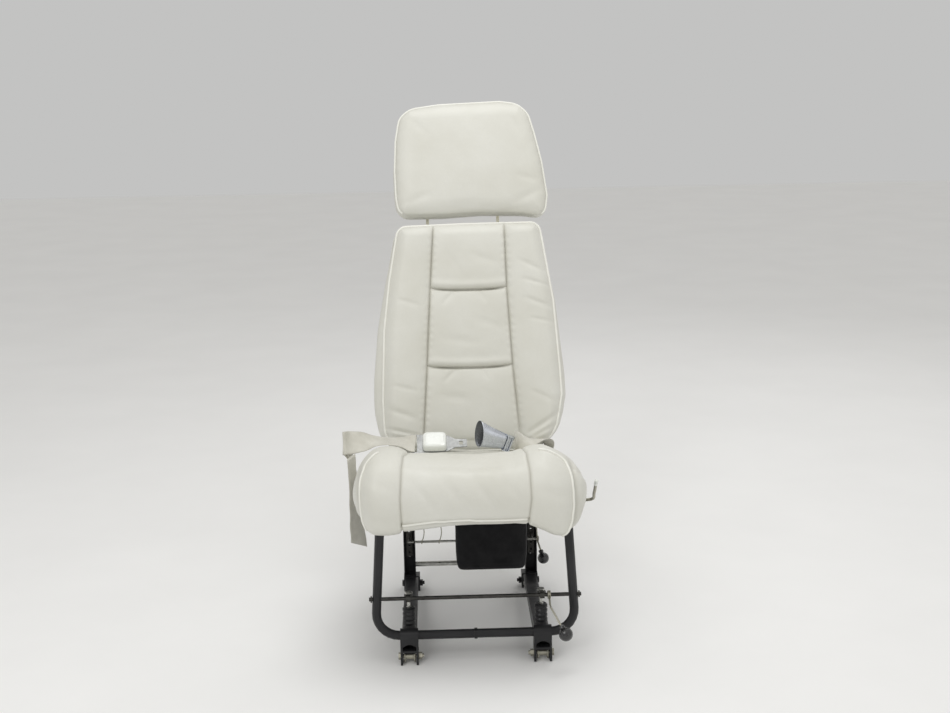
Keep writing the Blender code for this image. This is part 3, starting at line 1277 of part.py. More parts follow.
def tongue(pan):
    """The connector: a steel plate that narrows to a blade with a latch hole, and a domed white housing on it."""
    c, s = math.cos(TONGUE_LEAN), math.sin(TONGUE_LEAN)
    frame = placed_frame("tongue_frame", TONGUE_AT, ((1, 0, 0), (0, c, s), (0, -s, c)), pan)
    half = 0.0262
    outline = rounded([(-0.050, -half), (-0.020, -half), (0.026, -0.0225), (0.044, -0.0115), (0.069, -0.0105),
                       (0.069, 0.0105), (0.044, 0.0115), (0.026, 0.0225), (-0.020, half), (-0.050, half)], 0.002, 3)
    slot = [(-0.0445, -0.0235), (-0.0400, -0.0235), (-0.0400, 0.0235), (-0.0445, 0.0235)]
    hole = [(0.052, -0.005), (0.060, -0.005), (0.060, 0.005), (0.052, 0.005)]
    part("belt_tongue", plate([outline, slot, hole], TONGUE_THICKNESS, facing=FACING_Z), frame, "bright_steel")
    low = TONGUE_THICKNESS / 2 + FIT
    rings = []
    for share, height in ((1.0, 0.0), (1.0, 0.004), (0.985, 0.009), (0.95, 0.0125), (0.87, 0.0150), (0.7, 0.0162)):
        ring = soft_ring(0.0265 * share, 0.0225 * share, 6.0, 24)
        rings.append([(u - 0.0015, v, low + height) for u, v in ring])
    part("tongue_housing", loft(rings), frame, "white_plastic")


def buckle(pan):
    """A lift buckle: a folded base with the webbing bar and the hinge pin, and an arched cover that flares to its mouth."""
    c, s = math.cos(BUCKLE_TILT), math.sin(BUCKLE_TILT)
    turn_pan = Matrix.Rotation(PAN_SLOPE, 3, "X")
    axes = [turn_pan @ Vector(a) for a in ((-c, 0, s), (-s, 0, -c), (0, -1, 0))]
    frame = placed_frame("buckle_frame", BUCKLE_AT, axes, pan)
    tail = BUCKLE_TAIL / 2
    wall = 0.0018
    floor = -0.0075
    outline = rounded([(-0.0125, -tail - 0.001), (0.010, -tail - 0.001), (0.052, -0.0225), (0.052, 0.0225),
                       (0.010, tail + 0.001), (-0.0125, tail + 0.001)], 0.0025, 3)
    base = plate([outline], wall, (0, 0, floor), FACING_Z)
    walls = []
    for side in (-1, 1):
        y = side * (tail + 0.001 - wall / 2)
        cheek = [(-0.0125, floor), (0.007, floor), (0.0045, 0.0035), (-0.0125, 0.0035)]
        # Outline (u, v) lies in (X, Z) here
        walls.append(plate([rounded(cheek, 0.0015, 3)], wall, (0, y, 0), FACING_Y))
    pin = rod((0, -tail - 0.0015, 0), (0, tail + 0.0015, 0), BUCKLE_PIN_R, 16)
    bar = rod((-0.0100, -tail, -0.001), (-0.0100, tail, -0.001), 0.002, 14)
    part("buckle_body", joined(base, *walls, pin, bar), frame, "bright_steel")

    rows, columns = 9, 13
    bm = bmesh.new()
    grid = []
    for i in range(rows):
        t = i / (rows - 1)
        x = BUCKLE_PIN_R + 0.0012 + (BUCKLE_LENGTH - 0.003) * t
        half = (BUCKLE_TAIL / 2 - 0.0035) + (BUCKLE_MOUTH / 2 - BUCKLE_TAIL / 2 + 0.0035) * t**0.9
        arch = 0.0045 + (BUCKLE_ARCH - 0.0045) * min(1.0, t * 1.6)
        row = []
        for j in range(columns):
            angle = math.pi * (0.04 + 0.92 * j / (columns - 1))
            row.append(bm.verts.new((x, half * math.cos(angle), arch * math.sin(angle) ** 0.8 - 0.003 * (1 - t))))
        grid.append(row)
    for i in range(rows - 1):
        for j in range(columns - 1):
            bm.faces.new((grid[i][j], grid[i][j + 1], grid[i + 1][j + 1], grid[i + 1][j]))
    shape = from_bmesh(bm)
    sheet = shape.modifiers.new("wall", "SOLIDIFY")
    sheet.thickness = BUCKLE_WALL
    sheet.offset = 0.0
    lid = evaluated(shape)
    barrel_half = tail - wall - RUN - 0.0015
    barrel = rod((0, -barrel_half, 0), (0, barrel_half, 0), BUCKLE_PIN_R + RUN + 0.0016, 18)
    bore = rod((0, -tail, 0), (0, tail, 0), BUCKLE_PIN_R + RUN, 18)
    part("buckle_cover", cut(joined(lid, barrel), bore), frame, "blue_grey_metal", 40)


def build():
    clear_scene()
    make_materials()
    base = frame_at("base", (0, 0, 0))
    front_u_tube(base)
    brackets_and_rollers(base)
    for word, side in SIDES:
        side_rail(word, side, base)
        rear_post(word, side, base)
        plunger(word, side, base)
    rear_bars(base)
    torque_parts(base)
    latch_parts(base)
    for number, x in enumerate(SPRING_X, start=1):
        return_spring(number, x, base)

    pan = frame_at("seat_pan_axis", (0, FRONT_Y, PIVOT_Z), -PAN_SLOPE, base)
    pan_frame(pan)
    pan_sheet(pan)
    pan_bolts(pan)
    stowage_pouch(pan)
    seat_cushion(pan)
    hinge_parts(pan)
    lock_parts(pan)
    recline_lever(pan)
    for word, side in SIDES:
        adjusting_strip(word, side, pan)
    belt("lap_strap_left", STRAP_LEFT, pan)
    belt("lap_strap_right", STRAP_RIGHT, pan)
    strap_tail(pan)
    belt_anchors(pan)
    tongue(pan)
    buckle(pan)

    back = frame_at("backrest_axis", (0, *BACK_PIVOT), PAN_SLOPE - BACK_SLOPE, pan)
    back_parts(back)
    headrest(back)


build()
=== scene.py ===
# Crew seat: camera, light and materials, with upholstery and webbing that replace the plain soft solids.
# Every shape is in metres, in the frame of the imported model: +Z up, the occupant faces -Y.
import bmesh
import bpy
import json
import math
import numpy as np
from mathutils import Matrix, Vector


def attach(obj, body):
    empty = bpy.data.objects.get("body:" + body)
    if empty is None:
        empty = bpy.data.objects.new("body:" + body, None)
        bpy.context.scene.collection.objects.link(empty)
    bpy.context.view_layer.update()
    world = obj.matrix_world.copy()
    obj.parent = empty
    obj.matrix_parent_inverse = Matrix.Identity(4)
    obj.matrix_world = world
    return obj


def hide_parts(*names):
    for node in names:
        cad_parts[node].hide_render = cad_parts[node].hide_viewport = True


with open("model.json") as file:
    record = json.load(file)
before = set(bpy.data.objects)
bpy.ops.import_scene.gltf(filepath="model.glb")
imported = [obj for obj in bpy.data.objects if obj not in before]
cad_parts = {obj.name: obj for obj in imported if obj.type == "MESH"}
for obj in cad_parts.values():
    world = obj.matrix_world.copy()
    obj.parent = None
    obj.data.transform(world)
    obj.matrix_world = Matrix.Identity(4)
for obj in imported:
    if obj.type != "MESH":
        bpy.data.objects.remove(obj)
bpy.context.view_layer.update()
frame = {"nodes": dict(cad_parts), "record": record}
print("frame loaded")

# Local frames of the part: an origin in (Y, Z) and the slope about X.
# Their y runs towards the rear, their z runs up the backrest or square to the pan.
panFrame = {"y": -0.279, "z": 0.312, "slope": 12.0}
backFrame = {"y": 0.12828, "z": 0.25610, "slope": 15.5}


def toWorld(points, local):
    # y and z turned about X by the slope, then moved to the origin
    s, c = math.sin(math.radians(local["slope"])), math.cos(math.radians(local["slope"]))
    out = np.empty_like(points)
    out[..., 0] = points[..., 0]
    out[..., 1] = local["y"] + points[..., 1] * c + points[..., 2] * s
    out[..., 2] = local["z"] - points[..., 1] * s + points[..., 2] * c
    return out


def meshFrom(name, points, faces, body, materialName, smooth=True):
    # Puts arrays of points and quads into a mesh, in as few calls as Blender allows.
    mesh = bpy.data.meshes.new(name)
    faces = np.asarray(faces, dtype=np.int32)
    mesh.vertices.add(len(points))
    mesh.vertices.foreach_set("co", np.asarray(points, dtype=np.float32).ravel())
    mesh.loops.add(faces.size)
    mesh.loops.foreach_set("vertex_index", faces.ravel())
    mesh.polygons.add(len(faces))
    mesh.polygons.foreach_set("loop_start", np.arange(0, faces.size, faces.shape[1], dtype=np.int32))
    mesh.polygons.foreach_set("use_smooth", np.full(len(faces), smooth))
    mesh.update(calc_edges=True)
    mesh.validate()
    piece = bpy.data.objects.new(name, mesh)
    bpy.context.scene.collection.objects.link(piece)
    mesh.materials.append(looks[materialName])
    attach(piece, body)
    return piece


def paint(piece, values, name="shade"):
    # One number for each vertex, which a material reads by its name.
    layer = piece.data.attributes.new(name, "FLOAT", "POINT")
    layer.data.foreach_set("value", np.asarray(values, dtype=np.float32).ravel())


def gridFaces(rows, columns, closeColumns=False):
    # Quads between neighbouring rows and columns of a grid that is stored row by row.
    wide = columns if closeColumns else columns - 1
    r, k = np.meshgrid(np.arange(rows - 1), np.arange(wide), indexing="ij")
    after = (k + 1) % columns
    here, below = r * columns, (r + 1) * columns
    quads = np.stack([here + k, here + after, below + after, below + k], -1)
    return quads.reshape(-1, 4)


def smoothPath(corners, steps, closed=False):
    # A Catmull-Rom curve through the corners: each stretch is a cubic, whose tangent at a corner is half the
    # chord between the corner's neighbours.
    p = np.asarray(corners, dtype=float)
    if closed:
        p = np.vstack([p[-1:], p, p[:2]])
    else:
        p = np.vstack([2 * p[:1] - p[1:2], p, 2 * p[-1:] - p[-2:-1]])
    t = np.linspace(0, 1, steps, endpoint=False)[None, :, None]
    a, b, c, d = p[:-3, None], p[1:-2, None], p[2:-1, None], p[3:, None]
    curve = 0.5 * (2 * b + (c - a) * t + (2 * a - 5 * b + 4 * c - d) * t**2 + (3 * b - a - 3 * c + d) * t**3)
    curve = curve.reshape(-1, p.shape[1])
    return curve if closed else np.vstack([curve, p[-2:-1]])


def resampled(path, count, closed=False):
    # The same curve at an even spacing, found by interpolating along its length.
    line = np.vstack([path, path[:1]]) if closed else path
    along = np.concatenate([[0], np.cumsum(np.linalg.norm(np.diff(line, axis=0), axis=1))])
    want = np.linspace(0, along[-1], count, endpoint=not closed)
    return np.stack([np.interp(want, along, line[:, k]) for k in range(line.shape[1])], 1)


def sideVectors(path, closed=False, seed=(0.0, 0.0, 1.0)):
    # Tangents by central differences, and two unit vectors square to them: the cross product with the seed, and
    # the one square to both.
    if closed:
        tangent = np.roll(path, -1, 0) - np.roll(path, 1, 0)
    else:
        tangent = np.gradient(path, axis=0)
    tangent /= np.linalg.norm(tangent, axis=1)[:, None]
    first = np.cross(tangent, np.broadcast_to(np.asarray(seed, float), path.shape))
    small = np.linalg.norm(first, axis=1) < 0.05
    first[small] = np.cross(tangent[small], [0.0, 1.0, 0.3])
    first /= np.linalg.norm(first, axis=1)[:, None]
    return tangent, first, np.cross(first, tangent)


def tubeAlong(path, radius, sides=10, closed=False, seed=(0.0, 0.0, 1.0)):
    # A circle of the radius carried along the path, square to it. A smaller ring rounds off each open end.
    tangent, first, second = sideVectors(path, closed, seed)
    radius = np.broadcast_to(np.asarray(radius, float), (len(path),)).copy()
    if not closed:
        ends = [path[:1] - tangent[:1] * radius[0] * 0.8, path, path[-1:] + tangent[-1:] * radius[-1] * 0.8]
        path = np.vstack(ends)
        first, second = (np.vstack([v[:1], v, v[-1:]]) for v in (first, second))
        radius = np.concatenate([[radius[0] * 0.35], radius, [radius[-1] * 0.35]])
    angle = np.linspace(0, 2 * np.pi, sides, endpoint=False)
    ring = first[:, None] * np.cos(angle)[None, :, None] + second[:, None] * np.sin(angle)[None, :, None]
    points = (path[:, None] + ring * radius[:, None, None]).reshape(-1, 3)
    rows = len(path) + (1 if closed else 0)
    quads = gridFaces(rows, sides, closeColumns=True)
    if closed:
        quads = np.where(quads >= len(points), quads - len(points), quads)
    return points, quads


def closeHoles(piece):
    # Fills the open ends of a piece and turns its faces outwards.
    bm = bmesh.new()
    bm.from_mesh(piece.data)
    bmesh.ops.holes_fill(bm, edges=bm.edges[:])
    bmesh.ops.recalc_face_normals(bm, faces=bm.faces[:])
    bm.to_mesh(piece.data)
    bm.free()


# Materials: noise and Voronoi nodes in Object coordinates, in metres. The webbing's weave comes from sines.
looks = {}


def newLook(name, colour, roughness, metallic=0.0, **sockets):
    look = bpy.data.materials.new(name)
    look.use_nodes = True
    shader = look.node_tree.nodes["Principled BSDF"]
    shader.inputs["Base Color"].default_value = (*colour, 1.0)
    shader.inputs["Roughness"].default_value = roughness
    shader.inputs["Metallic"].default_value = metallic
    for socket, value in sockets.items():
        shader.inputs[socket.replace("_", " ")].default_value = value
    looks[name] = look
    return look.node_tree, shader


def noise(tree, scale, detail=4.0, roughness=0.55, stretch=(1, 1, 1)):
    place = tree.nodes.new("ShaderNodeTexCoord")
    mapping = tree.nodes.new("ShaderNodeMapping")
    mapping.inputs["Scale"].default_value = stretch
    texture = tree.nodes.new("ShaderNodeTexNoise")
    texture.inputs["Scale"].default_value = scale
    texture.inputs["Detail"].default_value = detail
    texture.inputs["Roughness"].default_value = roughness
    tree.links.new(place.outputs["Object"], mapping.inputs["Vector"])
    tree.links.new(mapping.outputs["Vector"], texture.inputs["Vector"])
    return texture.outputs["Fac"]


def ranged(tree, value, low, high, fromLow=0.3, fromHigh=0.7):
    # The value carried from one range to another, and held at its ends.
    spread = tree.nodes.new("ShaderNodeMapRange")
    for socket, number in (("From Min", fromLow), ("From Max", fromHigh), ("To Min", low), ("To Max", high)):
        spread.inputs[socket].default_value = number
    tree.links.new(value, spread.inputs["Value"])
    return spread.outputs["Result"]


def mixed(tree, factor, first, second):
    # Colour between two others. Each of the two is a colour or another node's output.
    mix = tree.nodes.new("ShaderNodeMix")
    mix.data_type = "RGBA"
    for socket, colour in ((mix.inputs[6], first), (mix.inputs[7], second)):
        if isinstance(colour, tuple):
            socket.default_value = (*colour, 1.0)
        else:
            tree.links.new(colour, socket)
    tree.links.new(factor, mix.inputs[0])
    return mix.outputs[2]


def bumped(tree, shader, heights):
    # Bumps one after the other, each a height with its strength and its depth in metres.
    last = None
    for height, strength, depth in heights:
        bump = tree.nodes.new("ShaderNodeBump")
        bump.inputs["Strength"].default_value = strength
        bump.inputs["Distance"].default_value = depth
        tree.links.new(height, bump.inputs["Height"])
        if last is not None:
            tree.links.new(last, bump.inputs["Normal"])
        last = bump.outputs["Normal"]
    tree.links.new(last, shader.inputs["Normal"])


def attribute(tree, name="shade"):
    read = tree.nodes.new("ShaderNodeAttribute")
    read.attribute_name = name
    return read.outputs["Fac"]


def variedGloss(tree, shader, value, roughness, smoother, rougher):
    # The roughness follows the value, from a little smoother to a little rougher.
    gloss = ranged(tree, value, roughness - smoother, roughness + rougher)
    tree.links.new(gloss, shader.inputs["Roughness"])


def leatherLook(name, pale, dark, seam, roughness):
    # Grained leather: Voronoi pebbles, fine pores, slow changes of tone, and painted shade where shade is set
    tree, shader = newLook(name, pale, roughness, Coat_Weight=0.08, Coat_Roughness=0.35,
                           Specular_IOR_Level=0.42)
    tone = mixed(tree, ranged(tree, noise(tree, 7.0, 3.0), 0.0, 1.0), pale, dark)
    fine = mixed(tree, ranged(tree, noise(tree, 160.0, 3.0), 0.0, 0.22), tone, dark)
    # Painted shade: the seam colour darkens the grooves of seams and tucks, the piping beds and the rolled
    # edges
    tree.links.new(mixed(tree, attribute(tree), fine, seam), shader.inputs["Base Color"])
    variedGloss(tree, shader, noise(tree, 22.0, 4.0), roughness, 0.07, 0.10)
    place = tree.nodes.new("ShaderNodeTexCoord")
    pebbles = tree.nodes.new("ShaderNodeTexVoronoi")
    pebbles.feature = "DISTANCE_TO_EDGE"
    pebbles.inputs["Scale"].default_value = 620.0
    tree.links.new(place.outputs["Object"], pebbles.inputs["Vector"])
    grain = ranged(tree, pebbles.outputs["Distance"], 0.0, 1.0, 0.0, 0.18)
    bumped(tree, shader, [(noise(tree, 38.0, 4.0), 0.16, 0.004), (grain, 0.20, 0.0004),
                          (noise(tree, 900.0, 2.0), 0.10, 0.0003)])


def paintLook(name, colour, worn, roughness, metallic=0.0, grime=0.5):
    # Satin paint over metal: tone and gloss vary slowly, fine orange peel, and a few rubbed specks
    tree, shader = newLook(name, colour, roughness, metallic, Coat_Weight=0.10, Coat_Roughness=0.20,
                           Specular_IOR_Level=0.32)
    specks = ranged(tree, noise(tree, 210.0, 5.0, 0.7), 0.0, grime, 0.66, 0.76)
    paler = tuple(c * 1.9 + 0.004 for c in colour)
    slow = mixed(tree, ranged(tree, noise(tree, 14.0, 4.0), 0.0, 1.0), colour, paler)
    tree.links.new(mixed(tree, specks, slow, worn), shader.inputs["Base Color"])
    variedGloss(tree, shader, noise(tree, 30.0, 4.0), roughness, 0.08, 0.14)
    bumped(tree, shader, [(noise(tree, 420.0, 3.0), 0.10, 0.0004)])


def metalLook(name, colour, dull, roughness, along=(1, 1, 1), metallic=1.0):
    # Bare or plated metal: brushed streaks and cloudy plating, darker where the shade attribute is set
    tree, shader = newLook(name, colour, roughness, metallic)
    streaks = noise(tree, 240.0, 4.0, 0.6, along)
    clouds = ranged(tree, noise(tree, 45.0, 5.0, 0.65), 0.0, 1.0)
    tone = mixed(tree, clouds, colour, dull)
    inShade = tuple(c * 0.12 for c in colour)
    tree.links.new(mixed(tree, attribute(tree), tone, inShade), shader.inputs["Base Color"])
    variedGloss(tree, shader, streaks, roughness, 0.08, 0.16)
    bumped(tree, shader, [(streaks, 0.08, 0.0003), (noise(tree, 60.0, 3.0), 0.05, 0.0006)])


def webbingLook(name, pale, dark, alongPitch=0.0016, acrossPitch=0.0011):
    # Woven webbing: two crossed waves in the strap's own coordinates give the weave, its edges are darker
    tree, shader = newLook(name, pale, 0.82, Sheen_Weight=0.35, Sheen_Roughness=0.5)
    along, across = attribute(tree, "along"), attribute(tree, "across")
    ribs = []
    for value, pitch in ((along, alongPitch), (across, acrossPitch)):
        scale = tree.nodes.new("ShaderNodeMath")
        scale.operation = "MULTIPLY"
        scale.inputs[1].default_value = 2 * math.pi / pitch
        wave = tree.nodes.new("ShaderNodeMath")
        wave.operation = "SINE"
        tree.links.new(value, scale.inputs[0])
        tree.links.new(scale.outputs[0], wave.inputs[0])
        ribs.append(wave.outputs[0])
    weave = tree.nodes.new("ShaderNodeMath")
    weave.operation = "MULTIPLY"
    tree.links.new(ribs[0], weave.inputs[0])
    tree.links.new(ribs[1], weave.inputs[1])
    threads = ranged(tree, weave.outputs[0], 0.0, 1.0, -1.0, 1.0)
    tone = mixed(tree, ranged(tree, noise(tree, 26.0, 3.0), 0.0, 1.0), pale, dark)
    woven = mixed(tree, ranged(tree, threads, 0.30, 0.0, 0.0, 1.0), tone, dark)
    atEdge = tuple(c * 0.55 for c in dark)
    tree.links.new(mixed(tree, attribute(tree), woven, atEdge), shader.inputs["Base Color"])
    bumped(tree, shader, [(threads, 0.5, 0.0005), (noise(tree, 1200.0, 2.0), 0.15, 0.0003)])


def clothLook(name, colour, light):
    # Coated nylon: a fine weave in Object coordinates and soft sheen
    tree, shader = newLook(name, colour, 0.80, Sheen_Weight=0.06, Sheen_Roughness=0.45, Specular_IOR_Level=0.25)
    tone = mixed(tree, ranged(tree, noise(tree, 30.0, 5.0), 0.0, 1.0), colour, light)
    tree.links.new(tone, shader.inputs["Base Color"])
    weave = noise(tree, 900.0, 2.0, 0.5, (1.0, 1.0, 1.6))
    bumped(tree, shader, [(noise(tree, 24.0, 4.0), 0.35, 0.004), (weave, 0.30, 0.0004)])


def plasticLook(name, colour, roughness, light=None, coat=0.3):
    # Moulded plastic: a fine texture and slight dust
    tree, shader = newLook(name, colour, roughness, Coat_Weight=coat, Coat_Roughness=0.12)
    other = light or tuple(min(1.0, c * 1.25 + 0.01) for c in colour)
    dust = ranged(tree, noise(tree, 75.0, 5.0, 0.65), 0.0, 0.55, 0.42, 0.78)
    tree.links.new(mixed(tree, dust, colour, other), shader.inputs["Base Color"])
    variedGloss(tree, shader, noise(tree, 40.0, 3.0), roughness, 0.04, 0.12)
    bumped(tree, shader, [(noise(tree, 500.0, 2.0), 0.06, 0.0003)])


# Each leather's third colour is its painted shade, for grooves, tucks, piping beds and rolled edges
leatherLook("paleLeather", (0.715, 0.712, 0.658), (0.645, 0.638, 0.572), (0.270, 0.256, 0.205), 0.42)
# Painted highlight: the piping is the same leather, made lighter for the light that catches its round cords
leatherLook("litPipingLeather", (0.860, 0.858, 0.800), (0.800, 0.795, 0.730), (0.50, 0.49, 0.43), 0.36)
webbingLook("creamWebbing", (0.720, 0.705, 0.635), (0.540, 0.525, 0.455))
paintLook("blackPaint", (0.008, 0.008, 0.009), (0.07, 0.066, 0.060), 0.36, grime=0.35)
paintLook("blueGreySteel", (0.33, 0.39, 0.44), (0.60, 0.62, 0.62), 0.30, 0.65, 0.25)
paintLook("creamPaint", (0.62, 0.60, 0.50), (0.40, 0.38, 0.32), 0.38)
metalLook("brightSteel", (0.64, 0.64, 0.61), (0.42, 0.42, 0.39), 0.27, (0.15, 1, 1))
metalLook("satinSteel", (0.66, 0.69, 0.74), (0.56, 0.585, 0.63), 0.30, (1, 0.3, 1))
metalLook("plateSteel", (0.36, 0.365, 0.36), (0.24, 0.245, 0.24), 0.36)
metalLook("darkSteel", (0.085, 0.083, 0.078), (0.045, 0.044, 0.041), 0.42)
metalLook("zincPlate", (0.52, 0.50, 0.41), (0.33, 0.32, 0.27), 0.38)
plasticLook("blackPlastic", (0.012, 0.012, 0.013), 0.20, coat=0.5)
plasticLook("whitePlastic", (0.82, 0.84, 0.80), 0.22, (0.70, 0.71, 0.66), 0.5)
clothLook("blackCloth", (0.006, 0.006, 0.007), (0.016, 0.016, 0.017))

slotLooks = {"black_paint": "blackPaint", "bright_steel": "brightSteel", "zinc_plate": "zincPlate",
             "black_plastic": "blackPlastic", "black_fabric": "blackCloth", "pale_leather": "paleLeather",
             "webbing": "creamWebbing", "white_plastic": "whitePlastic", "blue_grey_metal": "blueGreySteel",
             "cream_paint": "creamPaint"}
for part in frame["record"]["subparts"]:
    carried = frame["nodes"][part["node"]]
    for k in range(len(carried.material_slots)):
        carried.material_slots[k].material = looks[slotLooks[part["material_slot"]]]
nodeLooks = {"belt_tongue": "plateSteel", "buckle_body": "satinSteel", "torque_rod": "darkSteel",
             "adjusting_strip_left": "darkSteel", "adjusting_strip_right": "darkSteel"}
for name, look in nodeLooks.items():
    for k in range(len(frame["nodes"][name].material_slots)):
        frame["nodes"][name].material_slots[k].material = looks[look]
print("materials made")


# Upholstery shapes


def crowned(t, sharp=2.6, soft=0.6):
    # One panel's swell: 1 in its middle, 0 at its ends, (1 - |2t - 1|^sharp)^soft
    return np.clip(1 - np.abs(2 * np.clip(t, 0, 1) - 1) ** sharp, 0, 1) ** soft


def creased(x, z, creases):
    # Soft folds: each is a straight line whose depth falls off as a Gaussian of the distance to it.
    total = np.zeros_like(x)
    for x0, z0, x1, z1, wide, depth in creases:
        dx, dz = x1 - x0, z1 - z0
        t = np.clip(((x - x0) * dx + (z - z0) * dz) / (dx * dx + dz * dz), 0, 1)
        away = np.hypot(x - x0 - t * dx, z - z0 - t * dz)
        total += depth * np.exp(-((away / wide) ** 2)) * np.sin(np.pi * (0.15 + 0.7 * t))
    return total


def ripples(x, z, size, seed):
    # Slow unevenness: a few crossed sines whose directions and phases come from the seed
    rng = np.random.default_rng(seed)
    total = np.zeros_like(x)
    for k in range(6):
        angle, phase = rng.uniform(0, np.pi), rng.uniform(0, 2 * np.pi)
        rate = rng.uniform(18, 55)
        total += np.sin(rate * (x * np.cos(angle) + z * np.sin(angle)) + phase) / 6
    return size * total


def crowded(count, spots, reach, gain):
    # Values from 0 to 1, closer together near the spots: the inverse of a running density.
    t = np.linspace(0, 1, 2000)
    density = 1 + sum(gain * np.exp(-(((t - spot) / reach) ** 2)) for spot in spots)
    running = np.concatenate([[0], np.cumsum((density[1:] + density[:-1]) / 2)])
    return np.interp(np.linspace(0, 1, count), running / running[-1], t)


def roundedSide(edge, v, height, low, high):
    # An edge's x pulled in by a quarter circle at its lower and upper end
    x = np.interp(v * height, edge[:, 1] - edge[0, 1], edge[:, 0])
    sign = np.sign(x)
    down, up = v * height, (1 - v) * height
    pull = np.where(down < low, low - np.sqrt(np.clip(low**2 - (low - down) ** 2, 0, None)), 0)
    pull += np.where(up < high, high - np.sqrt(np.clip(high**2 - (high - up) ** 2, 0, None)), 0)
    return x - sign * pull


def padForm(pad, relief, rows=300, columns=260):
    # A pad seen from the front: a grid over its outline, pushed forwards by the relief. Its border sweeps back
    # as a gusset that bulges by a sine, and the back closes in rings that shrink to the middle.
    leftEdge, rightEdge = np.array(pad["left"]), np.array(pad["right"])
    v = crowded(rows, [0, 1] + pad.get("rowSpots", []), 0.03, 3.0)
    u = crowded(columns, [0, 1] + pad.get("columnSpots", []), 0.03, 3.0)
    bottom, top = leftEdge[0, 1], leftEdge[-1, 1]
    height = top - bottom
    left = roundedSide(leftEdge, v, height, pad["lowCorner"], pad["highCorner"])
    right = roundedSide(rightEdge, v, height, pad["lowCorner"], pad["highCorner"])
    x = left[:, None] + (right - left)[:, None] * u[None, :]
    z = np.broadcast_to(bottom + height * v[:, None], x.shape)
    z = z + np.interp(x, *zip(*pad["topLine"])) * v[:, None] ** 3
    z = z + np.interp(x, *zip(*pad["bottomLine"])) * (1 - v[:, None]) ** 3
    fromBelow, fromAbove = z * 0 + height * v[:, None], z * 0 + height * (1 - v[:, None])
    away = np.minimum.reduce([x - left[:, None], right[:, None] - x, fromBelow, fromAbove])
    near = np.clip(away / pad["roll"], 0, 1)
    edge = np.sqrt(np.clip(1 - (1 - near) ** 2, 0, 1))
    push, shade = relief(x, z, u[None, :] + x * 0, v[:, None] + x * 0, edge)
    front = np.stack([x, pad["front"] - push, z], -1).reshape(-1, 3)
    loop = np.concatenate([np.arange(columns), np.arange(1, rows) * columns + columns - 1,
                           (rows - 1) * columns + np.arange(columns - 2, -1, -1),
                           np.arange(rows - 2, 0, -1) * columns])
    rim = front[loop]
    after, before = np.roll(rim, -1, 0), np.roll(rim, 1, 0)
    outward = np.stack([after[:, 2] - before[:, 2], np.zeros(len(rim)), before[:, 0] - after[:, 0]], 1)
    outward /= np.linalg.norm(outward, axis=1)[:, None] + 1e-12
    smoothing = np.ones(9) / 9
    for k in (0, 2):
        wrapped = np.concatenate([outward[-4:, k], outward[:, k], outward[:4, k]])
        outward[:, k] = np.convolve(wrapped, smoothing, "valid")
    bulge = np.interp(rim[:, 0], (-0.12, 0.12), pad["bulge"]) * np.interp(rim[:, 2], *zip(*pad["bulgeAt"]))
    rings = []
    steps = pad.get("gussetSteps", 10)
    for k in range(1, steps + 1):
        t = k / steps
        ring = rim + outward * (bulge * math.sin(math.pi * t) ** 0.8 - pad["tuckIn"] * t**3)[:, None]
        ring[:, 1] = rim[:, 1] + (pad["rear"] - rim[:, 1]) * t
        rings.append(ring)
    middle = rings[-1].mean(0)
    low, high = rings[-1].min(0), rings[-1].max(0)
    for share in (0.985, 0.96, 0.92, 0.86, 0.78, 0.68, 0.56, 0.42, 0.28, 0.14, 0.004):
        ring = middle + (rings[steps - 1] - middle) * share
        part = (ring - low) / (high - low + 1e-9)
        crown = pad["backCrown"] * crowned(part[:, 0], 2.6, 0.7) * crowned(part[:, 2], 2.6, 0.7)
        ring[:, 1] = pad["rear"] + crown
        rings.append(ring)
    points = np.vstack([front] + rings)
    count = len(loop)
    bands = [gridFaces(rows, columns)]
    previous = loop
    for k in range(len(rings)):
        current = rows * columns + k * count + np.arange(count)
        bands.append(np.stack([previous, current, np.roll(current, -1), np.roll(previous, -1)], 1))
        previous = current
    shadeAll = np.concatenate([shade.ravel(), np.zeros(len(rings) * count)])
    return points, np.vstack(bands), shadeAll, rim, outward


def addPad(name, pad, relief, local, body, node, lookName="paleLeather", **sizes):
    points, faces, shade, rim, outward = padForm(pad, relief, **sizes)
    piece = meshFrom(name, toWorld(points, local), faces, body, lookName)
    paint(piece, shade)
    closeHoles(piece)
    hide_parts(node)
    return rim, outward


def addPiping(name, path, radius, local, body, closed=False, lookName="litPipingLeather"):
    # A cord under leather: a tube whose radius pulses a little, in the frame of its cushion
    wobble = radius * (1 + 0.03 * np.sin(np.arange(len(path)) * 0.9))
    points, faces = tubeAlong(path, wobble, 12, closed, (0.0, 1.0, 0.0))
    piece = meshFrom(name, toWorld(points, local), faces, body, lookName)
    paint(piece, np.zeros(len(points)))
    if not closed:
        closeHoles(piece)


def lineNear(x, z, path, wide):
    # 1 on a line through the path's points, falling off as a Gaussian of the distance to its nearest stretch
    best = np.full(x.shape, 9.0)
    for (x0, z0), (x1, z1) in zip(path, path[1:]):
        dx, dz = x1 - x0, z1 - z0
        t = np.clip(((x - x0) * dx + (z - z0) * dz) / (dx * dx + dz * dz + 1e-12), 0, 1)
        best = np.minimum(best, np.hypot(x - x0 - t * dx, z - z0 - t * dz))
    return np.exp(-((best / wide) ** 2))


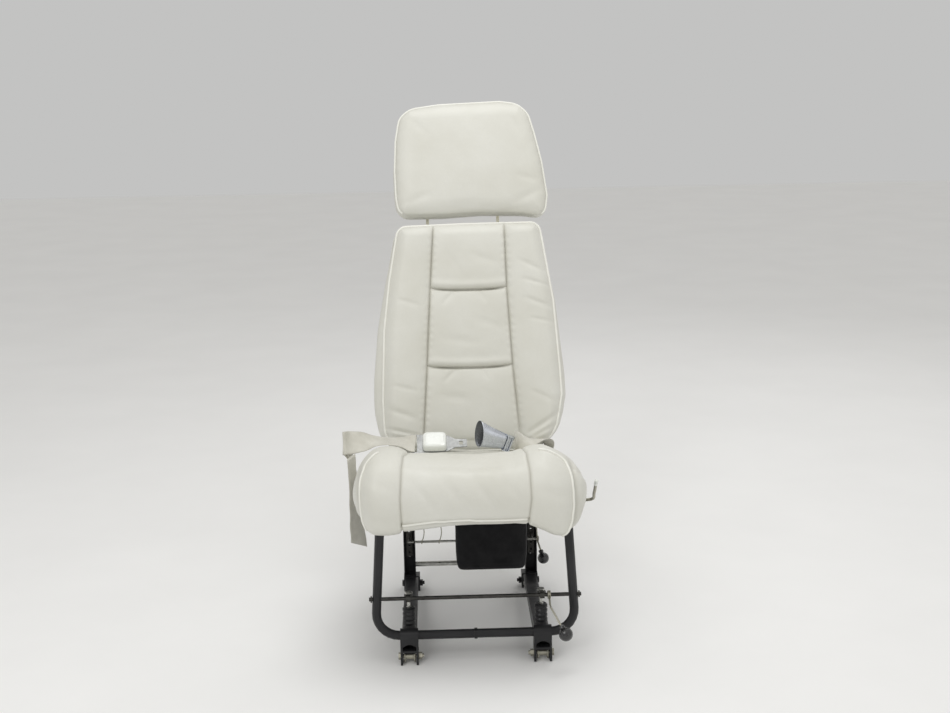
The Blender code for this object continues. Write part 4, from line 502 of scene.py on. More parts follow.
# Backrest pad: a centre panel with two sewn tucks between two bolsters
backPad = {
    "left": [(-0.186, 0.098), (-0.189, 0.136), (-0.191, 0.193), (-0.185, 0.352), (-0.171, 0.466),
             (-0.153, 0.570), (-0.149, 0.592)],
    "right": [(0.196, 0.098), (0.207, 0.150), (0.2145, 0.1945), (0.2120, 0.2516), (0.2010, 0.412),
              (0.1780, 0.560), (0.172, 0.592)],
    "lowCorner": 0.030, "highCorner": 0.018, "roll": 0.026,
    "topLine": [(-0.15, -0.005), (0.0, -0.001), (0.16, 0.0)],
    "bottomLine": [(-0.20, 0.0), (-0.13, -0.016), (0.0, -0.024), (0.12, -0.024), (0.17, -0.008), (0.20, 0.006)],
    "front": -0.057, "rear": -0.0120, "backCrown": 0.0, "bulge": (0.0235, 0.0130), "tuckIn": 0.003,
    "fill": 0.75, "piping": 0.0028,
    "bulgeAt": [(0.10, 0.55), (0.16, 0.95), (0.24, 1.0), (0.40, 0.62), (0.52, 0.30), (0.59, 0.10)],
    "columnSpots": [0.225, 0.26, 0.69, 0.73], "rowSpots": [0.329, 0.683],
    "seamLeft": [(0.098, -0.1015), (0.1114, -0.1007), (0.2587, -0.0905), (0.4409, -0.0795), (0.5828, -0.0693),
                 (0.61, -0.068)],
    "seamRight": [(0.0945, 0.1192), (0.2609, 0.1053), (0.437, 0.0962), (0.5886, 0.0932), (0.61, 0.0925)],
    "tucks": [0.263, 0.441],
    "bolsterSwell": 0.0125, "centreSwell": 0.0095, "rollSwell": 0.0035, "tuckDepth": 0.0065, "tuckWide": 0.0026,
    "seamDepth": 0.0030, "seamWide": 0.0026,
    "creases": [(0.128, 0.505, 0.180, 0.478, 0.006, -0.0024), (0.135, 0.462, 0.190, 0.446, 0.005, -0.0020),
                (0.140, 0.418, 0.196, 0.396, 0.006, -0.0024), (0.150, 0.372, 0.200, 0.362, 0.005, -0.0016),
                (0.140, 0.112, 0.208, 0.156, 0.006, -0.0042), (0.150, 0.104, 0.204, 0.130, 0.005, -0.0030),
                (0.150, 0.205, 0.200, 0.180, 0.006, -0.0018), (-0.186, 0.128, -0.110, 0.110, 0.005, -0.0036),
                (-0.184, 0.112, -0.090, 0.098, 0.005, -0.0032), (-0.175, 0.170, -0.120, 0.150, 0.007, -0.0022),
                (-0.165, 0.225, -0.115, 0.212, 0.006, -0.0014),
                (-0.150, 0.420, -0.100, 0.405, 0.006, -0.0012), (-0.050, 0.330, 0.020, 0.318, 0.010, -0.0014),
                (0.030, 0.370, 0.085, 0.352, 0.009, -0.0012), (-0.060, 0.200, 0.000, 0.190, 0.010, -0.0016),
                (0.020, 0.520, 0.075, 0.500, 0.009, -0.0012), (-0.045, 0.540, -0.010, 0.480, 0.008, -0.0010)],
}


def backRelief(x, z, u, v, edge):
    seamL = np.interp(z, *zip(*backPad["seamLeft"]))
    seamR = np.interp(z, *zip(*backPad["seamRight"]))
    leftT = (x - x[:, :1]) / (seamL - x[:, :1])
    rightT = (x[:, -1:] - x) / (x[:, -1:] - seamR)
    centreT = (x - seamL) / (seamR - seamL)
    inCentre = (centreT > 0) & (centreT < 1)
    push = 0.010 * edge
    push += np.where(leftT < 1, backPad["bolsterSwell"] * crowned(leftT, 2.4, 0.7), 0) * edge
    push += np.where(rightT < 1, backPad["bolsterSwell"] * crowned(rightT, 2.4, 0.7), 0) * edge
    cells = [backPad["left"][0][1], *backPad["tucks"], backPad["left"][-1][1]]
    swell = np.zeros_like(x)
    shade = np.zeros_like(x)
    for low, high in zip(cells, cells[1:]):
        inside = (z >= low) & (z < high)
        swell += np.where(inside, backPad["centreSwell"] * crowned((z - low) / (high - low), 3.4, 0.5), 0)
    for height in backPad["tucks"]:
        tuck = height + 0.007 * np.abs(2 * centreT - 1) ** 3.0 - 0.0015
        over = backPad["rollSwell"] * np.exp(-(((z - tuck - 0.011) / 0.009) ** 2))
        fold = backPad["tuckDepth"] * np.exp(-(((z - tuck) / backPad["tuckWide"]) ** 2))
        pulls = [(-0.05, height - 0.03, -0.02, height, 0.006, -1.0),
                 (0.045, height - 0.026, 0.03, height, 0.006, -1.0)]
        swell += over - fold + 0.0022 * creased(x, z, pulls)
        shade += 0.60 * np.exp(-(((z - tuck + 0.0004) / 0.0015) ** 2)) * inCentre
    push += np.where(inCentre, swell * crowned(centreT, 5.0, 0.5), 0) * edge
    for seam in (seamL, seamR):
        push -= backPad["seamDepth"] * np.exp(-(((x - seam) / backPad["seamWide"]) ** 2)) * edge
        shade += 0.42 * np.exp(-(((x - seam) / 0.0012) ** 2))
        puckers = np.sin(z * 310 + 2 * np.sin(z * 37)) * np.exp(-(((np.abs(x - seam) - 0.006) / 0.005) ** 2))
        push += 0.00045 * puckers
    push += creased(x, z, backPad["creases"]) + ripples(x, z, 0.0011, 3) * edge
    return push, np.clip(shade, 0, 1)


pipingLift = np.array([0, 0.0012, 0])
rim, outward = addPad("back_pad", backPad, backRelief, backFrame, "backrest", "back_cushion",
                      rows=320, columns=280)
path = resampled(rim + outward * 0.0008 - pipingLift, 520, closed=True)
addPiping("back_piping", path, backPad["piping"], backFrame, "backrest", closed=True)
print("backrest pad made")

# Headrest pad: one crowned panel, piped at the sides and the top, rolled under below
headPad = {
    "left": [(-0.145, 0.6165), (-0.1512, 0.655), (-0.1532, 0.720), (-0.1502, 0.790), (-0.1440, 0.830),
             (-0.136, 0.873)],
    "right": [(0.187, 0.6165), (0.1935, 0.660), (0.1830, 0.735), (0.1670, 0.805), (0.1560, 0.845),
              (0.150, 0.873)],
    "lowCorner": 0.020, "highCorner": 0.034, "roll": 0.034,
    "topLine": [(-0.13, -0.0150), (-0.05, -0.0045), (0.09, 0.0008), (0.145, -0.007)],
    "bottomLine": [(-0.14, 0.0005), (-0.05, -0.001), (0.04, 0.003), (0.14, -0.001), (0.19, -0.008)],
    "front": -0.052, "rear": 0.0110, "backCrown": 0.004, "bulge": (0.0085, 0.0045), "tuckIn": 0.008,
    "fill": 0.8, "piping": 0.0026,
    "bulgeAt": [(0.61, 0.9), (0.70, 0.8), (0.80, 0.4), (0.87, 0.3)],
    "creases": [(-0.130, 0.640, -0.080, 0.660, 0.010, -0.0016), (0.120, 0.640, 0.175, 0.665, 0.010, -0.0022),
                (0.130, 0.700, 0.172, 0.690, 0.008, -0.0014), (-0.030, 0.630, 0.030, 0.640, 0.012, -0.0014),
                (-0.120, 0.840, -0.080, 0.800, 0.009, -0.0012), (0.110, 0.845, 0.135, 0.800, 0.009, -0.0012)],
}


def headRelief(x, z, u, v, edge):
    push = 0.016 * edge + 0.0110 * crowned(u, 2.2, 0.8) * crowned(v, 2.4, 0.7)
    near = np.exp(-(((1 - edge) - 0.55) / 0.25) ** 2)
    push += 0.00035 * np.sin(z * 260 + 3 * np.sin(x * 30)) * near
    push += creased(x, z, headPad["creases"]) + ripples(x, z, 0.0010, 11) * edge
    return push, np.clip(0.45 * (1 - edge) ** 3 * np.clip((z - 0.64) / 0.03, 0, 1), 0, 1)


headColumns, openEnd = 260, 12  # the piping leaves out the lower edge and a few steps next to it
rim, outward = addPad("headrest_pad", headPad, headRelief, backFrame, "headrest", "headrest_cushion",
                      rows=230, columns=headColumns)
path = rim + outward * 0.0008 - pipingLift
path = resampled(path[headColumns + openEnd: -openEnd], 420)
addPiping("headrest_piping", path, headPad["piping"], backFrame, "headrest")
print("headrest pad made")


# Seat pad: the side view is carried across the seat, higher over the bolsters and lower at their front ends
seatPad = {
    "side": [(0.340, 0.000), (0.240, 0.000), (0.130, 0.000), (0.040, 0.000), (-0.030, 0.000),
             (-0.0530, 0.000), (-0.0590, -0.014), (-0.074, -0.019), (-0.090, -0.011), (-0.100, 0.012),
             (-0.105, 0.040), (-0.102, 0.070), (-0.090, 0.097), (-0.068, 0.117), (-0.038, 0.128),
             (0.000, 0.131), (0.050, 0.124), (0.110, 0.110), (0.170, 0.101), (0.240, 0.0965),
             (0.300, 0.0965), (0.330, 0.091), (0.343, 0.077), (0.347, 0.050), (0.344, 0.016)],
    "base": 0.0105, "half": 0.2320, "shift": -0.0103, "centre": (0.10, 0.044),
    "ends": ((0.79, 1.5, 0.55), (0.62, 1.7, 0.50)),
    "lift": [(-0.236, -0.0130), (-0.205, -0.0080), (-0.185, -0.0016), (-0.165, -0.0003), (-0.150, -0.0018),
             (-0.120, -0.0100), (-0.050, -0.0148), (0.000, -0.0172), (0.050, -0.0150), (0.080, -0.0120),
             (0.100, -0.0042), (0.120, -0.0026), (0.140, -0.0030), (0.160, -0.0073), (0.200, -0.0130),
             (0.212, -0.0277)],
    "drop": [(-0.236, 0.0100), (-0.222, 0.0038), (-0.205, -0.0042), (-0.165, -0.0065), (-0.150, -0.0071),
             (-0.120, -0.0023), (-0.050, 0.0063), (0.000, 0.0081), (0.080, 0.0072), (0.120, 0.0004),
             (0.140, -0.0058), (0.160, -0.0195), (0.180, -0.0320), (0.200, -0.0214), (0.212, -0.0045)],
    "seamLeft": [(-0.128, 0.50), (-0.133, 0.476), (-0.1419, 0.4359), (-0.1453, 0.3852), (-0.1433, 0.3175),
                 (-0.142, 0.28)],
    "seamRight": [(0.099, 0.50), (0.1025, 0.4697), (0.1099, 0.4291), (0.1115, 0.3781), (0.1052, 0.327),
                  (0.104, 0.28)],
    "topSeams": (-0.130, 0.101), "sides": (-0.236, 0.227),
    "band": [(-0.1435, 0.3310), (-0.105, 0.3335), (-0.0686, 0.3362), (-0.03, 0.3366), (0.0098, 0.3362),
             (0.06, 0.3358), (0.1040, 0.3352)],
    "pipingRight": [(0.1290, 0.4780), (0.1500, 0.4735), (0.1692, 0.4630), (0.1850, 0.4440), (0.1930, 0.4180),
                    (0.1962, 0.3850), (0.1965, 0.3600), (0.1925, 0.3280), (0.1850, 0.3060), (0.1720, 0.2930)],
    "pipingLeft": [(-0.1900, 0.4760), (-0.2080, 0.4610), (-0.2200, 0.4400), (-0.2262, 0.4120),
                   (-0.2265, 0.3750), (-0.2235, 0.3400), (-0.2150, 0.3130)],
    "roll": 0.0075, "centreSwell": 0.0045, "seamDepth": 0.0026, "seamWide": 0.0026, "pipingDepth": 0.0030,
    "pipingWide": 0.0045, "sidePiping": (0.0024, 0.0026), "bandPiping": 0.0024, "fill": 0.8,
    "hollow": (0.040, -0.073, 0.034, -0.0048, 0.34),  # room for the lifted cover: x, y, width, depth, from z
    "creases": [(-0.120, 0.420, -0.070, 0.350, 0.008, -0.0020), (-0.080, 0.440, -0.010, 0.360, 0.009, -0.0022),
                (-0.020, 0.440, 0.045, 0.362, 0.008, -0.0022), (0.030, 0.445, 0.090, 0.380, 0.008, -0.0019),
                (-0.105, 0.450, -0.085, 0.425, 0.006, -0.0010), (0.120, 0.400, 0.185, 0.375, 0.010, -0.0016),
                (-0.210, 0.420, -0.155, 0.400, 0.009, -0.0014), (-0.205, 0.345, -0.155, 0.335, 0.009, -0.0016),
                (0.120, 0.335, 0.170, 0.318, 0.009, -0.0018)],
}


def seatForm(rows=280, columns=330):
    # Rows across the seat, columns round the side view. Towards each side the ring shrinks to its middle by a
    # superellipse. Panels, seams, piping beds and creases then push the surface along its normals.
    ring = resampled(smoothPath(seatPad["side"], 10, closed=True), columns, closed=True)
    turning = np.sum(ring[:, 0] * np.roll(ring[:, 1], -1) - ring[:, 1] * np.roll(ring[:, 0], -1))
    ring = ring[::-1] if turning > 0 else ring
    s = 2 * crowded(rows, [0, 0.03, 0.195, 0.74, 0.97, 1], 0.03, 3.0) - 1
    x = s * seatPad["half"] + seatPad["shift"]
    y = np.broadcast_to(ring[None, :, 0], (rows, columns)).copy()
    z = np.broadcast_to(ring[None, :, 1], (rows, columns)).copy()
    upper = np.clip((z - 0.060) / 0.050, 0, 1) ** 2
    z += np.interp(x, *zip(*seatPad["lift"]))[:, None] * upper * np.clip((0.16 - y) / 0.12, 0.25, 1)
    under = np.clip((0.060 - z) / 0.070, 0, 1) * np.clip((-0.050 - y) / 0.012, 0, 1)
    z += np.interp(x, *zip(*seatPad["drop"]))[:, None] * under
    shrink = np.ones(rows)
    for side, (start, power, root) in zip((-1, 1), seatPad["ends"]):
        edge = np.clip((side * s - start) / (1 - start), 0, 1)
        shrink *= (1 - (0.995 * edge) ** power) ** root
    cy, cz = seatPad["centre"]
    pullY = 0.55 + 0.45 * shrink
    pullZ = 0.12 + 0.88 * shrink
    rest = (z < 0.0005) & (y > -0.054)
    y = cy + (y - cy) * pullY[:, None]
    pullRest = 0.15 + 0.85 * (1 - np.clip((np.abs(s) - 0.84) / 0.16, 0, 0.995) ** 2.2) ** 0.5
    z = cz + (z - cz) * np.where(rest, pullRest[:, None], pullZ[:, None])
    points = toWorld(np.stack([np.broadcast_to(x[:, None], y.shape), y, z + seatPad["base"]], -1), panFrame)
    alongRing = np.roll(points, -1, 1) - np.roll(points, 1, 1)
    alongSeat = np.gradient(points, axis=0)
    normal = np.cross(alongSeat, alongRing)
    normal /= np.linalg.norm(normal, axis=2)[..., None] + 1e-12
    middle = points.mean((0, 1))
    if np.sum(normal * (points - middle)) < 0:
        normal = -normal
    px, pz = points[..., 0], points[..., 2]
    facing = np.clip((-0.27 - points[..., 1]) / 0.02, 0, 1)
    seen = 1.0 - rest
    seamL = np.interp(pz, *zip(*[(b, a) for a, b in seatPad["seamLeft"][::-1]]))
    seamR = np.interp(pz, *zip(*[(b, a) for a, b in seatPad["seamRight"][::-1]]))
    onTop = np.clip((points[..., 1] + 0.30) / 0.03, 0, 1)
    topLeft, topRight = seatPad["topSeams"]
    seamL = seamL * (1 - onTop) + topLeft * onTop
    seamR = seamR * (1 - onTop) + topRight * onTop
    farLeft, farRight = seatPad["sides"]
    centreT = (px - seamL) / (seamR - seamL)
    leftT = (px - farLeft) / (seamL - farLeft)
    rightT = (farRight - px) / (farRight - seamR)
    push = seatPad["centreSwell"] * crowned(centreT, 2.6, 0.7) * ((centreT > 0) & (centreT < 1))
    bolsters = crowned(leftT, 2.4, 0.75) * (leftT < 1) + crowned(rightT, 2.4, 0.75) * (rightT < 1)
    push += seatPad["roll"] * bolsters
    hollowX, hollowY, hollowWide, hollowDeep, hollowFrom = seatPad["hollow"]
    away = np.hypot(px - hollowX, points[..., 1] - hollowY)
    push += hollowDeep * np.exp(-((away / hollowWide) ** 2)) * (pz > hollowFrom)
    shade = np.zeros_like(px)
    for seam in (seamL, seamR):
        push -= seatPad["seamDepth"] * np.exp(-(((px - seam) / seatPad["seamWide"]) ** 2))
        shade += 0.45 * np.exp(-(((px - seam) / 0.0013) ** 2))
    onFront = facing * (pz > 0.30)
    wide = seatPad["pipingWide"]
    band = lineNear(px, pz, seatPad["band"], wide) * ((centreT > -0.01) & (centreT < 1.01)) * onFront
    side = lineNear(px, pz, seatPad["pipingRight"], wide) + lineNear(px, pz, seatPad["pipingLeft"], wide)
    push -= seatPad["pipingDepth"] * band + seatPad["pipingDepth"] * side * facing
    shade += 0.35 * band + 0.25 * side * facing
    pipingX = np.interp(pz, *zip(*[(b, a) for a, b in seatPad["pipingRight"][::-1]]))
    beyond = np.clip((px - pipingX) / 0.012, 0, 1)
    push += 0.004 * beyond * facing * (px > 0.12)
    push += creased(px, pz, seatPad["creases"]) * facing + ripples(px, pz + points[..., 1], 0.0011, 5)
    points = points + normal * (push * seen)[..., None]
    return points, normal, np.clip(shade * seen, 0, 1)


seatPoints, seatNormals, seatShade = seatForm()
rows, columns = seatShade.shape
faces = gridFaces(rows, columns, closeColumns=True)
seat = meshFrom("seat_pad", seatPoints.reshape(-1, 3), faces, "seat_pan", "paleLeather")
paint(seat, seatShade.ravel())
closeHoles(seat)
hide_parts("seat_cushion")


def onSeatFront(line, count, lift):
    # Points of the seat pad's front that lie nearest the line's (X, Z), evened out and lifted along the normals
    path = resampled(smoothPath(line, 12), count)
    front = (seatPoints[..., 1] < -0.285) & (seatNormals[..., 1] < 0.25)
    spots, normals = seatPoints[front], seatNormals[front]
    far = (spots[None, :, 0] - path[:, None, 0]) ** 2 + (spots[None, :, 2] - path[:, None, 1]) ** 2
    far = far + 0.02 * (spots[None, :, 1] + 0.40) ** 2
    nearest = np.argmin(far, axis=1)
    line = spots[nearest] + normals[nearest] * lift
    kernel = np.ones(9) / 9
    padded = np.vstack([np.repeat(line[:1], 4, 0), line, np.repeat(line[-1:], 4, 0)])
    return np.stack([np.convolve(padded[:, k], kernel, "valid") for k in range(3)], 1)


def addSeatPiping(name, line, radius):
    path = resampled(onSeatFront(line, 160, 0.0006), 200)
    points, faces = tubeAlong(path, radius, 12, False, (0.0, 1.0, 0.0))
    piece = meshFrom(name, points, faces, "seat_pan", "litPipingLeather")
    paint(piece, np.zeros(len(points)))
    closeHoles(piece)


addSeatPiping("seat_piping_right", seatPad["pipingRight"], seatPad["sidePiping"][1])
addSeatPiping("seat_piping_left", seatPad["pipingLeft"], seatPad["sidePiping"][0])
addSeatPiping("seat_band_piping", seatPad["band"], seatPad["bandPiping"])
print("seat pad made")


# Lap belt: webbing swept along the routes of the plain straps, in the pan's frame. Each row of a route is a
# place and the direction of the width there.
lapBelt = {
    "rows": {"left": 281, "right": 100, "tail": 100},
    "width": 0.050, "thickness": 0.0021, "sag": 0.0007, "edge": 0.0022, "edgeShade": 0.25,
    "sideWaves": [(0.0006, 41.0, 0.0), (0.0004, 97.0, 1.3)], "cutReach": 0.10, "cutShare": 0.72,
    "left": [(-0.1185, 0.2258, 0.1362, 0, 1, 1), (-0.1281, 0.2262, 0.1368, 0, 1, 0.90),
             (-0.142, 0.2255, 0.1385, 0, 1, 0.52), (-0.160, 0.2230, 0.1410, 0, 1, 0.30),
             (-0.185, 0.2180, 0.1438, 0, 1, 0.28), (-0.210, 0.2120, 0.1446, 0, 1, 0.50),
             (-0.232, 0.2060, 0.1440, 0, 0.75, 1), (-0.255, 0.1990, 0.1432, 0, 0.3, 1),
             (-0.2695, 0.1890, 0.1428, 0, 0.05, 1), (-0.2740, 0.1960, 0.1415, 0, 0, 1),
             (-0.2690, 0.2090, 0.1360, 0, 0.2, 1), (-0.2600, 0.2300, 0.1100, 0, 0.7, 0.7),
             (-0.2520, 0.2500, 0.0700, 0, 1, 0.3), (-0.2450, 0.2640, 0.0280, 0, 1, 0.2),
             (-0.2300, 0.2740, -0.0120, 0, 1, 0.1), (-0.2060, 0.2720, -0.0300, 0, 1, 0),
             (-0.1860, 0.2730, -0.0340, 0, 1, 0), (-0.1700, 0.2730, -0.0340, 0, 1, 0)],
    "right": [(0.0982, 0.2306, 0.1251, -0.36, 0.10, -0.92), (0.1060, 0.2400, 0.1330, -0.3, -0.3, -0.8),
              (0.1260, 0.2580, 0.1375, -0.2, -0.9, -0.35), (0.1480, 0.2880, 0.1345, 0.7, -0.9, 0),
              (0.1640, 0.3180, 0.1318, 0.7, -0.7, 0), (0.1735, 0.3470, 0.1235, 0.35, -0.94, 0),
              (0.1767, 0.3740, 0.1040, 0, -1, 0), (0.1769, 0.3770, 0.0600, 0, -1, 0),
              (0.1769, 0.3770, 0.0145, 0, -1, 0)],
    "tail": [(-0.2530, 0.1320, 0.1180, 0.30, 1, 0), (-0.2518, 0.1405, 0.0700, 0.28, 1, 0),
             (-0.2500, 0.1545, 0.0050, 0.34, 1, 0), (-0.2455, 0.1650, -0.0450, 0.60, 1, 0),
             (-0.2420, 0.1750, -0.0880, 0.72, 1, 0)],
    "cut": 38.0,
}


def strapAlong(route, rowCount, width, thickness, cutSlope=0.0):
    # A flattened ring with round edges, carried along a smoothed route. The middle bows by a parabola, and each
    # edge waves a little. A sloped cut pulls the last rows back in proportion to the place across the width.
    rows = resampled(smoothPath(route, 24), rowCount)
    path, wide = rows[:, :3], rows[:, 3:]
    tangent = np.gradient(path, axis=0)
    tangent /= np.linalg.norm(tangent, axis=1)[:, None]
    wide = wide - tangent * np.sum(wide * tangent, 1)[:, None]
    wide /= np.linalg.norm(wide, axis=1)[:, None]
    face = np.cross(tangent, wide)
    along = np.concatenate([[0], np.cumsum(np.linalg.norm(np.diff(path, axis=0), axis=1))])
    u = np.linspace(-1, 1, 19)
    u = np.sign(u) * np.abs(u) ** 0.8
    across = np.concatenate([u, u[::-1]]) * width / 2
    half = thickness / 2 * (1 - np.abs(np.concatenate([u, u[::-1]])) ** 14 * 0.75)
    high = half * np.repeat([1.0, -1.0], len(u))
    wave = sum(size * np.sin(along * rate + phase) for size, rate, phase in lapBelt["sideWaves"])[:, None]
    part = across / (width / 2)
    bow = lapBelt["sag"] * (1 - part**2)[None, :] + wave * np.abs(part)[None, :] ** 2
    fade = np.clip(np.minimum(along, along[-1] - along) / 0.02, 0, 1)[:, None]
    points = path[:, None] + wide[:, None] * across[None, :, None]
    points = points + face[:, None] * (high[None, :] + bow * fade)[..., None]
    if cutSlope:
        reach = lapBelt["cutReach"]
        near = np.clip((along - along[-1] + reach) / reach, 0, 1)[:, None]
        pull = near * (width / 2 - across[None, :]) * math.tan(math.radians(cutSlope)) * lapBelt["cutShare"]
        points = points - tangent[:, None] * pull[..., None]
    return points, along, across


def addStrap(name, key, node, **cut):
    route = np.array(lapBelt[key], dtype=float)
    rowCount = lapBelt["rows"][key]
    points, along, across = strapAlong(route, rowCount, lapBelt["width"], lapBelt["thickness"], **cut)
    rows, columns = points.shape[:2]
    faces = gridFaces(rows, columns, closeColumns=True)
    piece = meshFrom(name, toWorld(points, panFrame).reshape(-1, 3), faces, "seat_pan", "creamWebbing")
    edge = np.clip((np.abs(across) - lapBelt["width"] / 2 + lapBelt["edge"]) / lapBelt["edge"], 0, 1)
    paint(piece, np.repeat(along[:, None], columns, 1), "along")
    paint(piece, np.repeat(across[None, :], rows, 0), "across")
    paint(piece, np.repeat(lapBelt["edgeShade"] * edge[None, :], rows, 0))
    closeHoles(piece)
    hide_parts(node)


addStrap("lap_webbing_left", "left", "lap_strap_left")
addStrap("lap_webbing_right", "right", "lap_strap_right")
addStrap("loose_strap_end", "tail", "strap_tail", cutSlope=lapBelt["cut"])
print("lap belt made")


# Buckle cover: a flared half cone with a rolled rim, in the cover's own frame. Its x runs from the hinge pin to
# the mouth, its y across the belt, its z out of the seat. The frame lies on the buckle's place in the pan.
buckleCover = {
    "at": (0.081, 0.2285, 0.1310), "tilt": 21.0, "start": 0.0034, "length": 0.0610, "tail": 0.0150,
    "mouth": 0.0285, "archTail": 0.0046, "arch": 0.0165, "wall": 0.0013, "lean": 0.0090, "shear": 0.24,
    "sweep": 0.03, "dishTail": 0.0092, "dish": 0.0125, "rim": 0.0010, "rimAt": 0.975, "rimWide": 0.018,
    "insideShade": 0.9,
}


def onBuckle(points):
    # Local places on the buckle in the world: x to the left and up, y to the left and down, z to the front
    s, c = math.sin(math.radians(buckleCover["tilt"])), math.cos(math.radians(buckleCover["tilt"]))
    at = toWorld(np.array([buckleCover["at"]]), panFrame)[0]
    axes = np.array([(-c, 0, s), (-s, 0, -c), (0, -1, 0)])
    return at + points @ axes


def coneHalf(side, archTail, archMouth, rows=46, columns=64):
    # Half an ellipse for each step from the hinge to the mouth. Its half width grows by a power of the step and
    # its height by a sine. The mouth leans: its rear reaches further out, and its lower end is set back.
    t = np.linspace(0, 1, rows)[:, None]
    angle = np.linspace(buckleCover["sweep"], 1 - buckleCover["sweep"], columns)[None, :] * math.pi
    width = buckleCover["tail"] + (buckleCover["mouth"] - buckleCover["tail"]) * t**0.95
    arch = archTail + (archMouth - archTail) * np.sin(t * math.pi / 2) ** 0.8
    y = width * np.cos(angle)
    z = side * arch * np.sin(angle) ** 0.85 - 0.0030 * (1 - t) * (side > 0)
    x = buckleCover["start"] + buckleCover["length"] * t - side * buckleCover["lean"] * t**3 * np.sin(angle)
    outer = np.stack([x - buckleCover["shear"] * y * t**2, y, z], -1)
    out = np.stack([0 * y, np.cos(angle) / width, side * np.sin(angle) / arch], -1)
    out /= np.linalg.norm(out, axis=2)[..., None]
    roll = buckleCover["rim"] * np.exp(-(((t - buckleCover["rimAt"]) / buckleCover["rimWide"]) ** 2))
    outer = outer + out * roll[..., None]
    return outer, outer - out * buckleCover["wall"]


def addConeHalf(name, side, archTail, archMouth, body):
    # A wall between the outer and the inner surface, closed all round. The inside gets painted shade.
    outer, inner = coneHalf(side, archTail, archMouth)
    rows, columns = outer.shape[:2]
    ring = np.concatenate([outer, inner[:, ::-1]], axis=1)
    wide = 2 * columns
    faces = gridFaces(rows, wide, closeColumns=True)
    k = np.arange(columns - 1)
    ends = [np.stack([row + k, row + k + 1, row + wide - 2 - k, row + wide - 1 - k], -1)
            for row in (0, (rows - 1) * wide)]
    piece = meshFrom(name, onBuckle(ring.reshape(-1, 3)), np.vstack([faces, *ends]), body, "satinSteel")
    paint(piece, np.tile(np.repeat([0.0, buckleCover["insideShade"]], columns), rows))
    closeHoles(piece)
    return piece


cover = addConeHalf("buckle_lift_cover", 1, buckleCover["archTail"], buckleCover["arch"], "buckle_cover_body")
addConeHalf("buckle_dish", -1, buckleCover["dishTail"], buckleCover["dish"], "seat_pan")
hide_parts("buckle_cover")
print("buckle made")


# Stowage pouch: a soft bag that hangs upright from the pan, with side seams, a hem and shallow folds
pouch = {"middle": 0.041, "half": 0.077, "thick": 0.019, "height": 0.136, "top": -0.0040, "place": 0.178,
         "corner": 4.0, "fill": 0.2, "hemAt": 0.10, "hemWide": 0.012, "hemDepth": 0.0012,
         "sides": [(0.0, 0.965, 0.55), (0.05, 0.995, 0.75), (0.35, 0.998, 0.95), (0.70, 0.990, 1.0),
                   (0.88, 0.968, 0.90), (0.955, 0.930, 0.66), (0.99, 0.880, 0.40), (1.0, 0.800, 0.20)],
         "folds": [(-0.03, -0.05, 0.02, -0.11, 0.010, -0.0020), (0.06, -0.03, 0.10, -0.10, 0.012, -0.0022),
                   (0.00, -0.02, 0.05, -0.035, 0.008, -0.0016), (0.02, -0.12, 0.09, -0.112, 0.007, -0.0018)]}


def pouchForm(rows=120, columns=220):
    # Superellipse rings whose half sizes follow the sides. Folds and a slow ripple push them outwards.
    t = np.linspace(0, 1, rows) ** 0.92
    share, wide, thick = (np.array(column) for column in zip(*pouch["sides"]))
    halfWide = (pouch["half"] * np.interp(t, share, wide))[:, None]
    halfThick = (pouch["thick"] * np.interp(t, share, thick))[:, None]
    angle = np.linspace(0, 2 * np.pi, columns, endpoint=False)[None, :]
    c, s = np.cos(angle), np.sin(angle)
    u = halfWide * np.sign(c) * np.abs(c) ** (2 / pouch["corner"])
    v = halfThick * np.sign(s) * np.abs(s) ** (2 / pouch["corner"])
    z = (pouch["top"] - t * pouch["height"])[:, None] + 0 * u
    push = creased(u + pouch["middle"], z, pouch["folds"]) + ripples(u, z + v, 0.0012, 17)
    hem = np.exp(-(((t - pouch["hemAt"]) / pouch["hemWide"]) ** 2))[:, None]
    push -= pouch["hemDepth"] * hem
    seam = np.exp(-((v / 0.0022) ** 2)) * (np.abs(u) > 0.8 * halfWide)
    u = u + push * c + 0.0010 * seam * np.sign(u)
    v = v + push * s
    y = pouch["place"] - z * math.tan(math.radians(panFrame["slope"])) + v
    shade = np.clip(0.5 * hem + 0.3 * seam, 0, 1)
    return np.stack([u + pouch["middle"], y, z], -1), shade


points, shade = pouchForm()
rows, columns = shade.shape
faces = gridFaces(rows, columns, closeColumns=True)
bag = meshFrom("soft_pouch", toWorld(points, panFrame).reshape(-1, 3), faces, "seat_pan", "blackCloth")
paint(bag, shade.ravel())
closeHoles(bag)
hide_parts("stowage_pouch")
print("pouch made")


# Camera, floor and light
cameraSetup = {"at": (-0.0663, -2.9689, 1.2555), "yaw": 1.58, "pitch": 12.77, "roll": -0.99, "lens": 53.05,
               "sensor": 36.0}
yaw, pitch, roll = (math.radians(cameraSetup[k]) for k in ("yaw", "pitch", "roll"))
ahead = np.array([math.sin(yaw) * math.cos(pitch), math.cos(yaw) * math.cos(pitch), -math.sin(pitch)])
level = np.array([math.cos(yaw), -math.sin(yaw), 0.0])
raised = np.cross(level, ahead)
across = math.cos(roll) * level + math.sin(roll) * raised
upward = -math.sin(roll) * level + math.cos(roll) * raised
camera = bpy.data.objects.new("camera", bpy.data.cameras.new("camera"))
camera.data.lens = cameraSetup["lens"]
camera.data.sensor_width = cameraSetup["sensor"]
camera.data.sensor_fit = "HORIZONTAL"
turn = np.stack([across, upward, -ahead], 1).tolist()
camera.matrix_world = Matrix([[*row, at] for row, at in zip(turn, cameraSetup["at"])] + [[0, 0, 0, 1]])
bpy.context.scene.collection.objects.link(camera)
bpy.context.scene.camera = camera

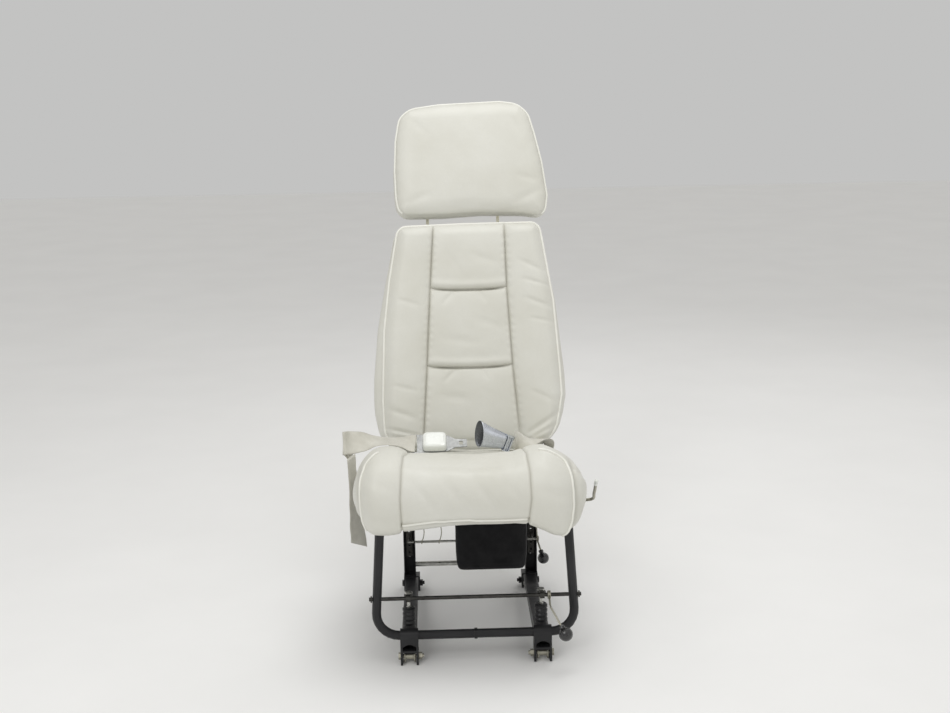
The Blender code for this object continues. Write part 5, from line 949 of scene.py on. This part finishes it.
studio = {"floor": (0.90, 0.90, 0.89), "floorHalf": 9, "world": 0.60, "backdrop": 0.545, "aim": (0, 0, 0.5),
          "lamps": [("key", (-1.3, -2.7, 2.4), 1.5, 21), ("fill", (2.4, -2.2, 1.3), 1.8, 4),
                    ("top", (0.2, -0.4, 3.0), 1.8, 24), ("rim", (1.2, 2.2, 2.1), 1.2, 7)]}
tree, shader = newLook("paleFloor", studio["floor"], 0.75)
darker = tuple(c * 0.97 for c in studio["floor"])
tone = mixed(tree, ranged(tree, noise(tree, 3.0), 0.0, 1.0), studio["floor"], darker)
tree.links.new(tone, shader.inputs["Base Color"])
mesh = bpy.data.meshes.new("floor")
far = studio["floorHalf"]
mesh.from_pydata([(-far, -far, 0), (far, -far, 0), (far, far, 0), (-far, far, 0)], [], [(0, 1, 2, 3)])
mesh.materials.append(looks["paleFloor"])
floor = bpy.data.objects.new("floor", mesh)
bpy.context.scene.collection.objects.link(floor)
for name, at, size, power in studio["lamps"]:
    lamp = bpy.data.lights.new(name, "AREA")
    lamp.shape, lamp.size, lamp.energy = "DISK", size, power
    holder = bpy.data.objects.new(name, lamp)
    holder.location = at
    holder.rotation_euler = (Vector(studio["aim"]) - Vector(at)).to_track_quat("-Z", "Y").to_euler()
    bpy.context.scene.collection.objects.link(holder)
world = bpy.data.worlds.new("studio")
world.use_nodes = True
bpy.context.scene.world = world
tree = world.node_tree
soft = tree.nodes["Background"]
soft.inputs["Color"].default_value = (1.0, 0.99, 0.97, 1.0)
soft.inputs["Strength"].default_value = studio["world"]
plain = tree.nodes.new("ShaderNodeBackground")
plain.inputs["Color"].default_value = (1.0, 1.0, 0.99, 1.0)
plain.inputs["Strength"].default_value = studio["backdrop"]
rays = tree.nodes.new("ShaderNodeLightPath")
pick = tree.nodes.new("ShaderNodeMixShader")
tree.links.new(rays.outputs["Is Camera Ray"], pick.inputs[0])
tree.links.new(soft.outputs[0], pick.inputs[1])
tree.links.new(plain.outputs[0], pick.inputs[2])
tree.links.new(pick.outputs[0], tree.nodes["World Output"].inputs["Surface"])
bpy.context.scene.view_settings.view_transform = "Standard"
print("camera and light set")
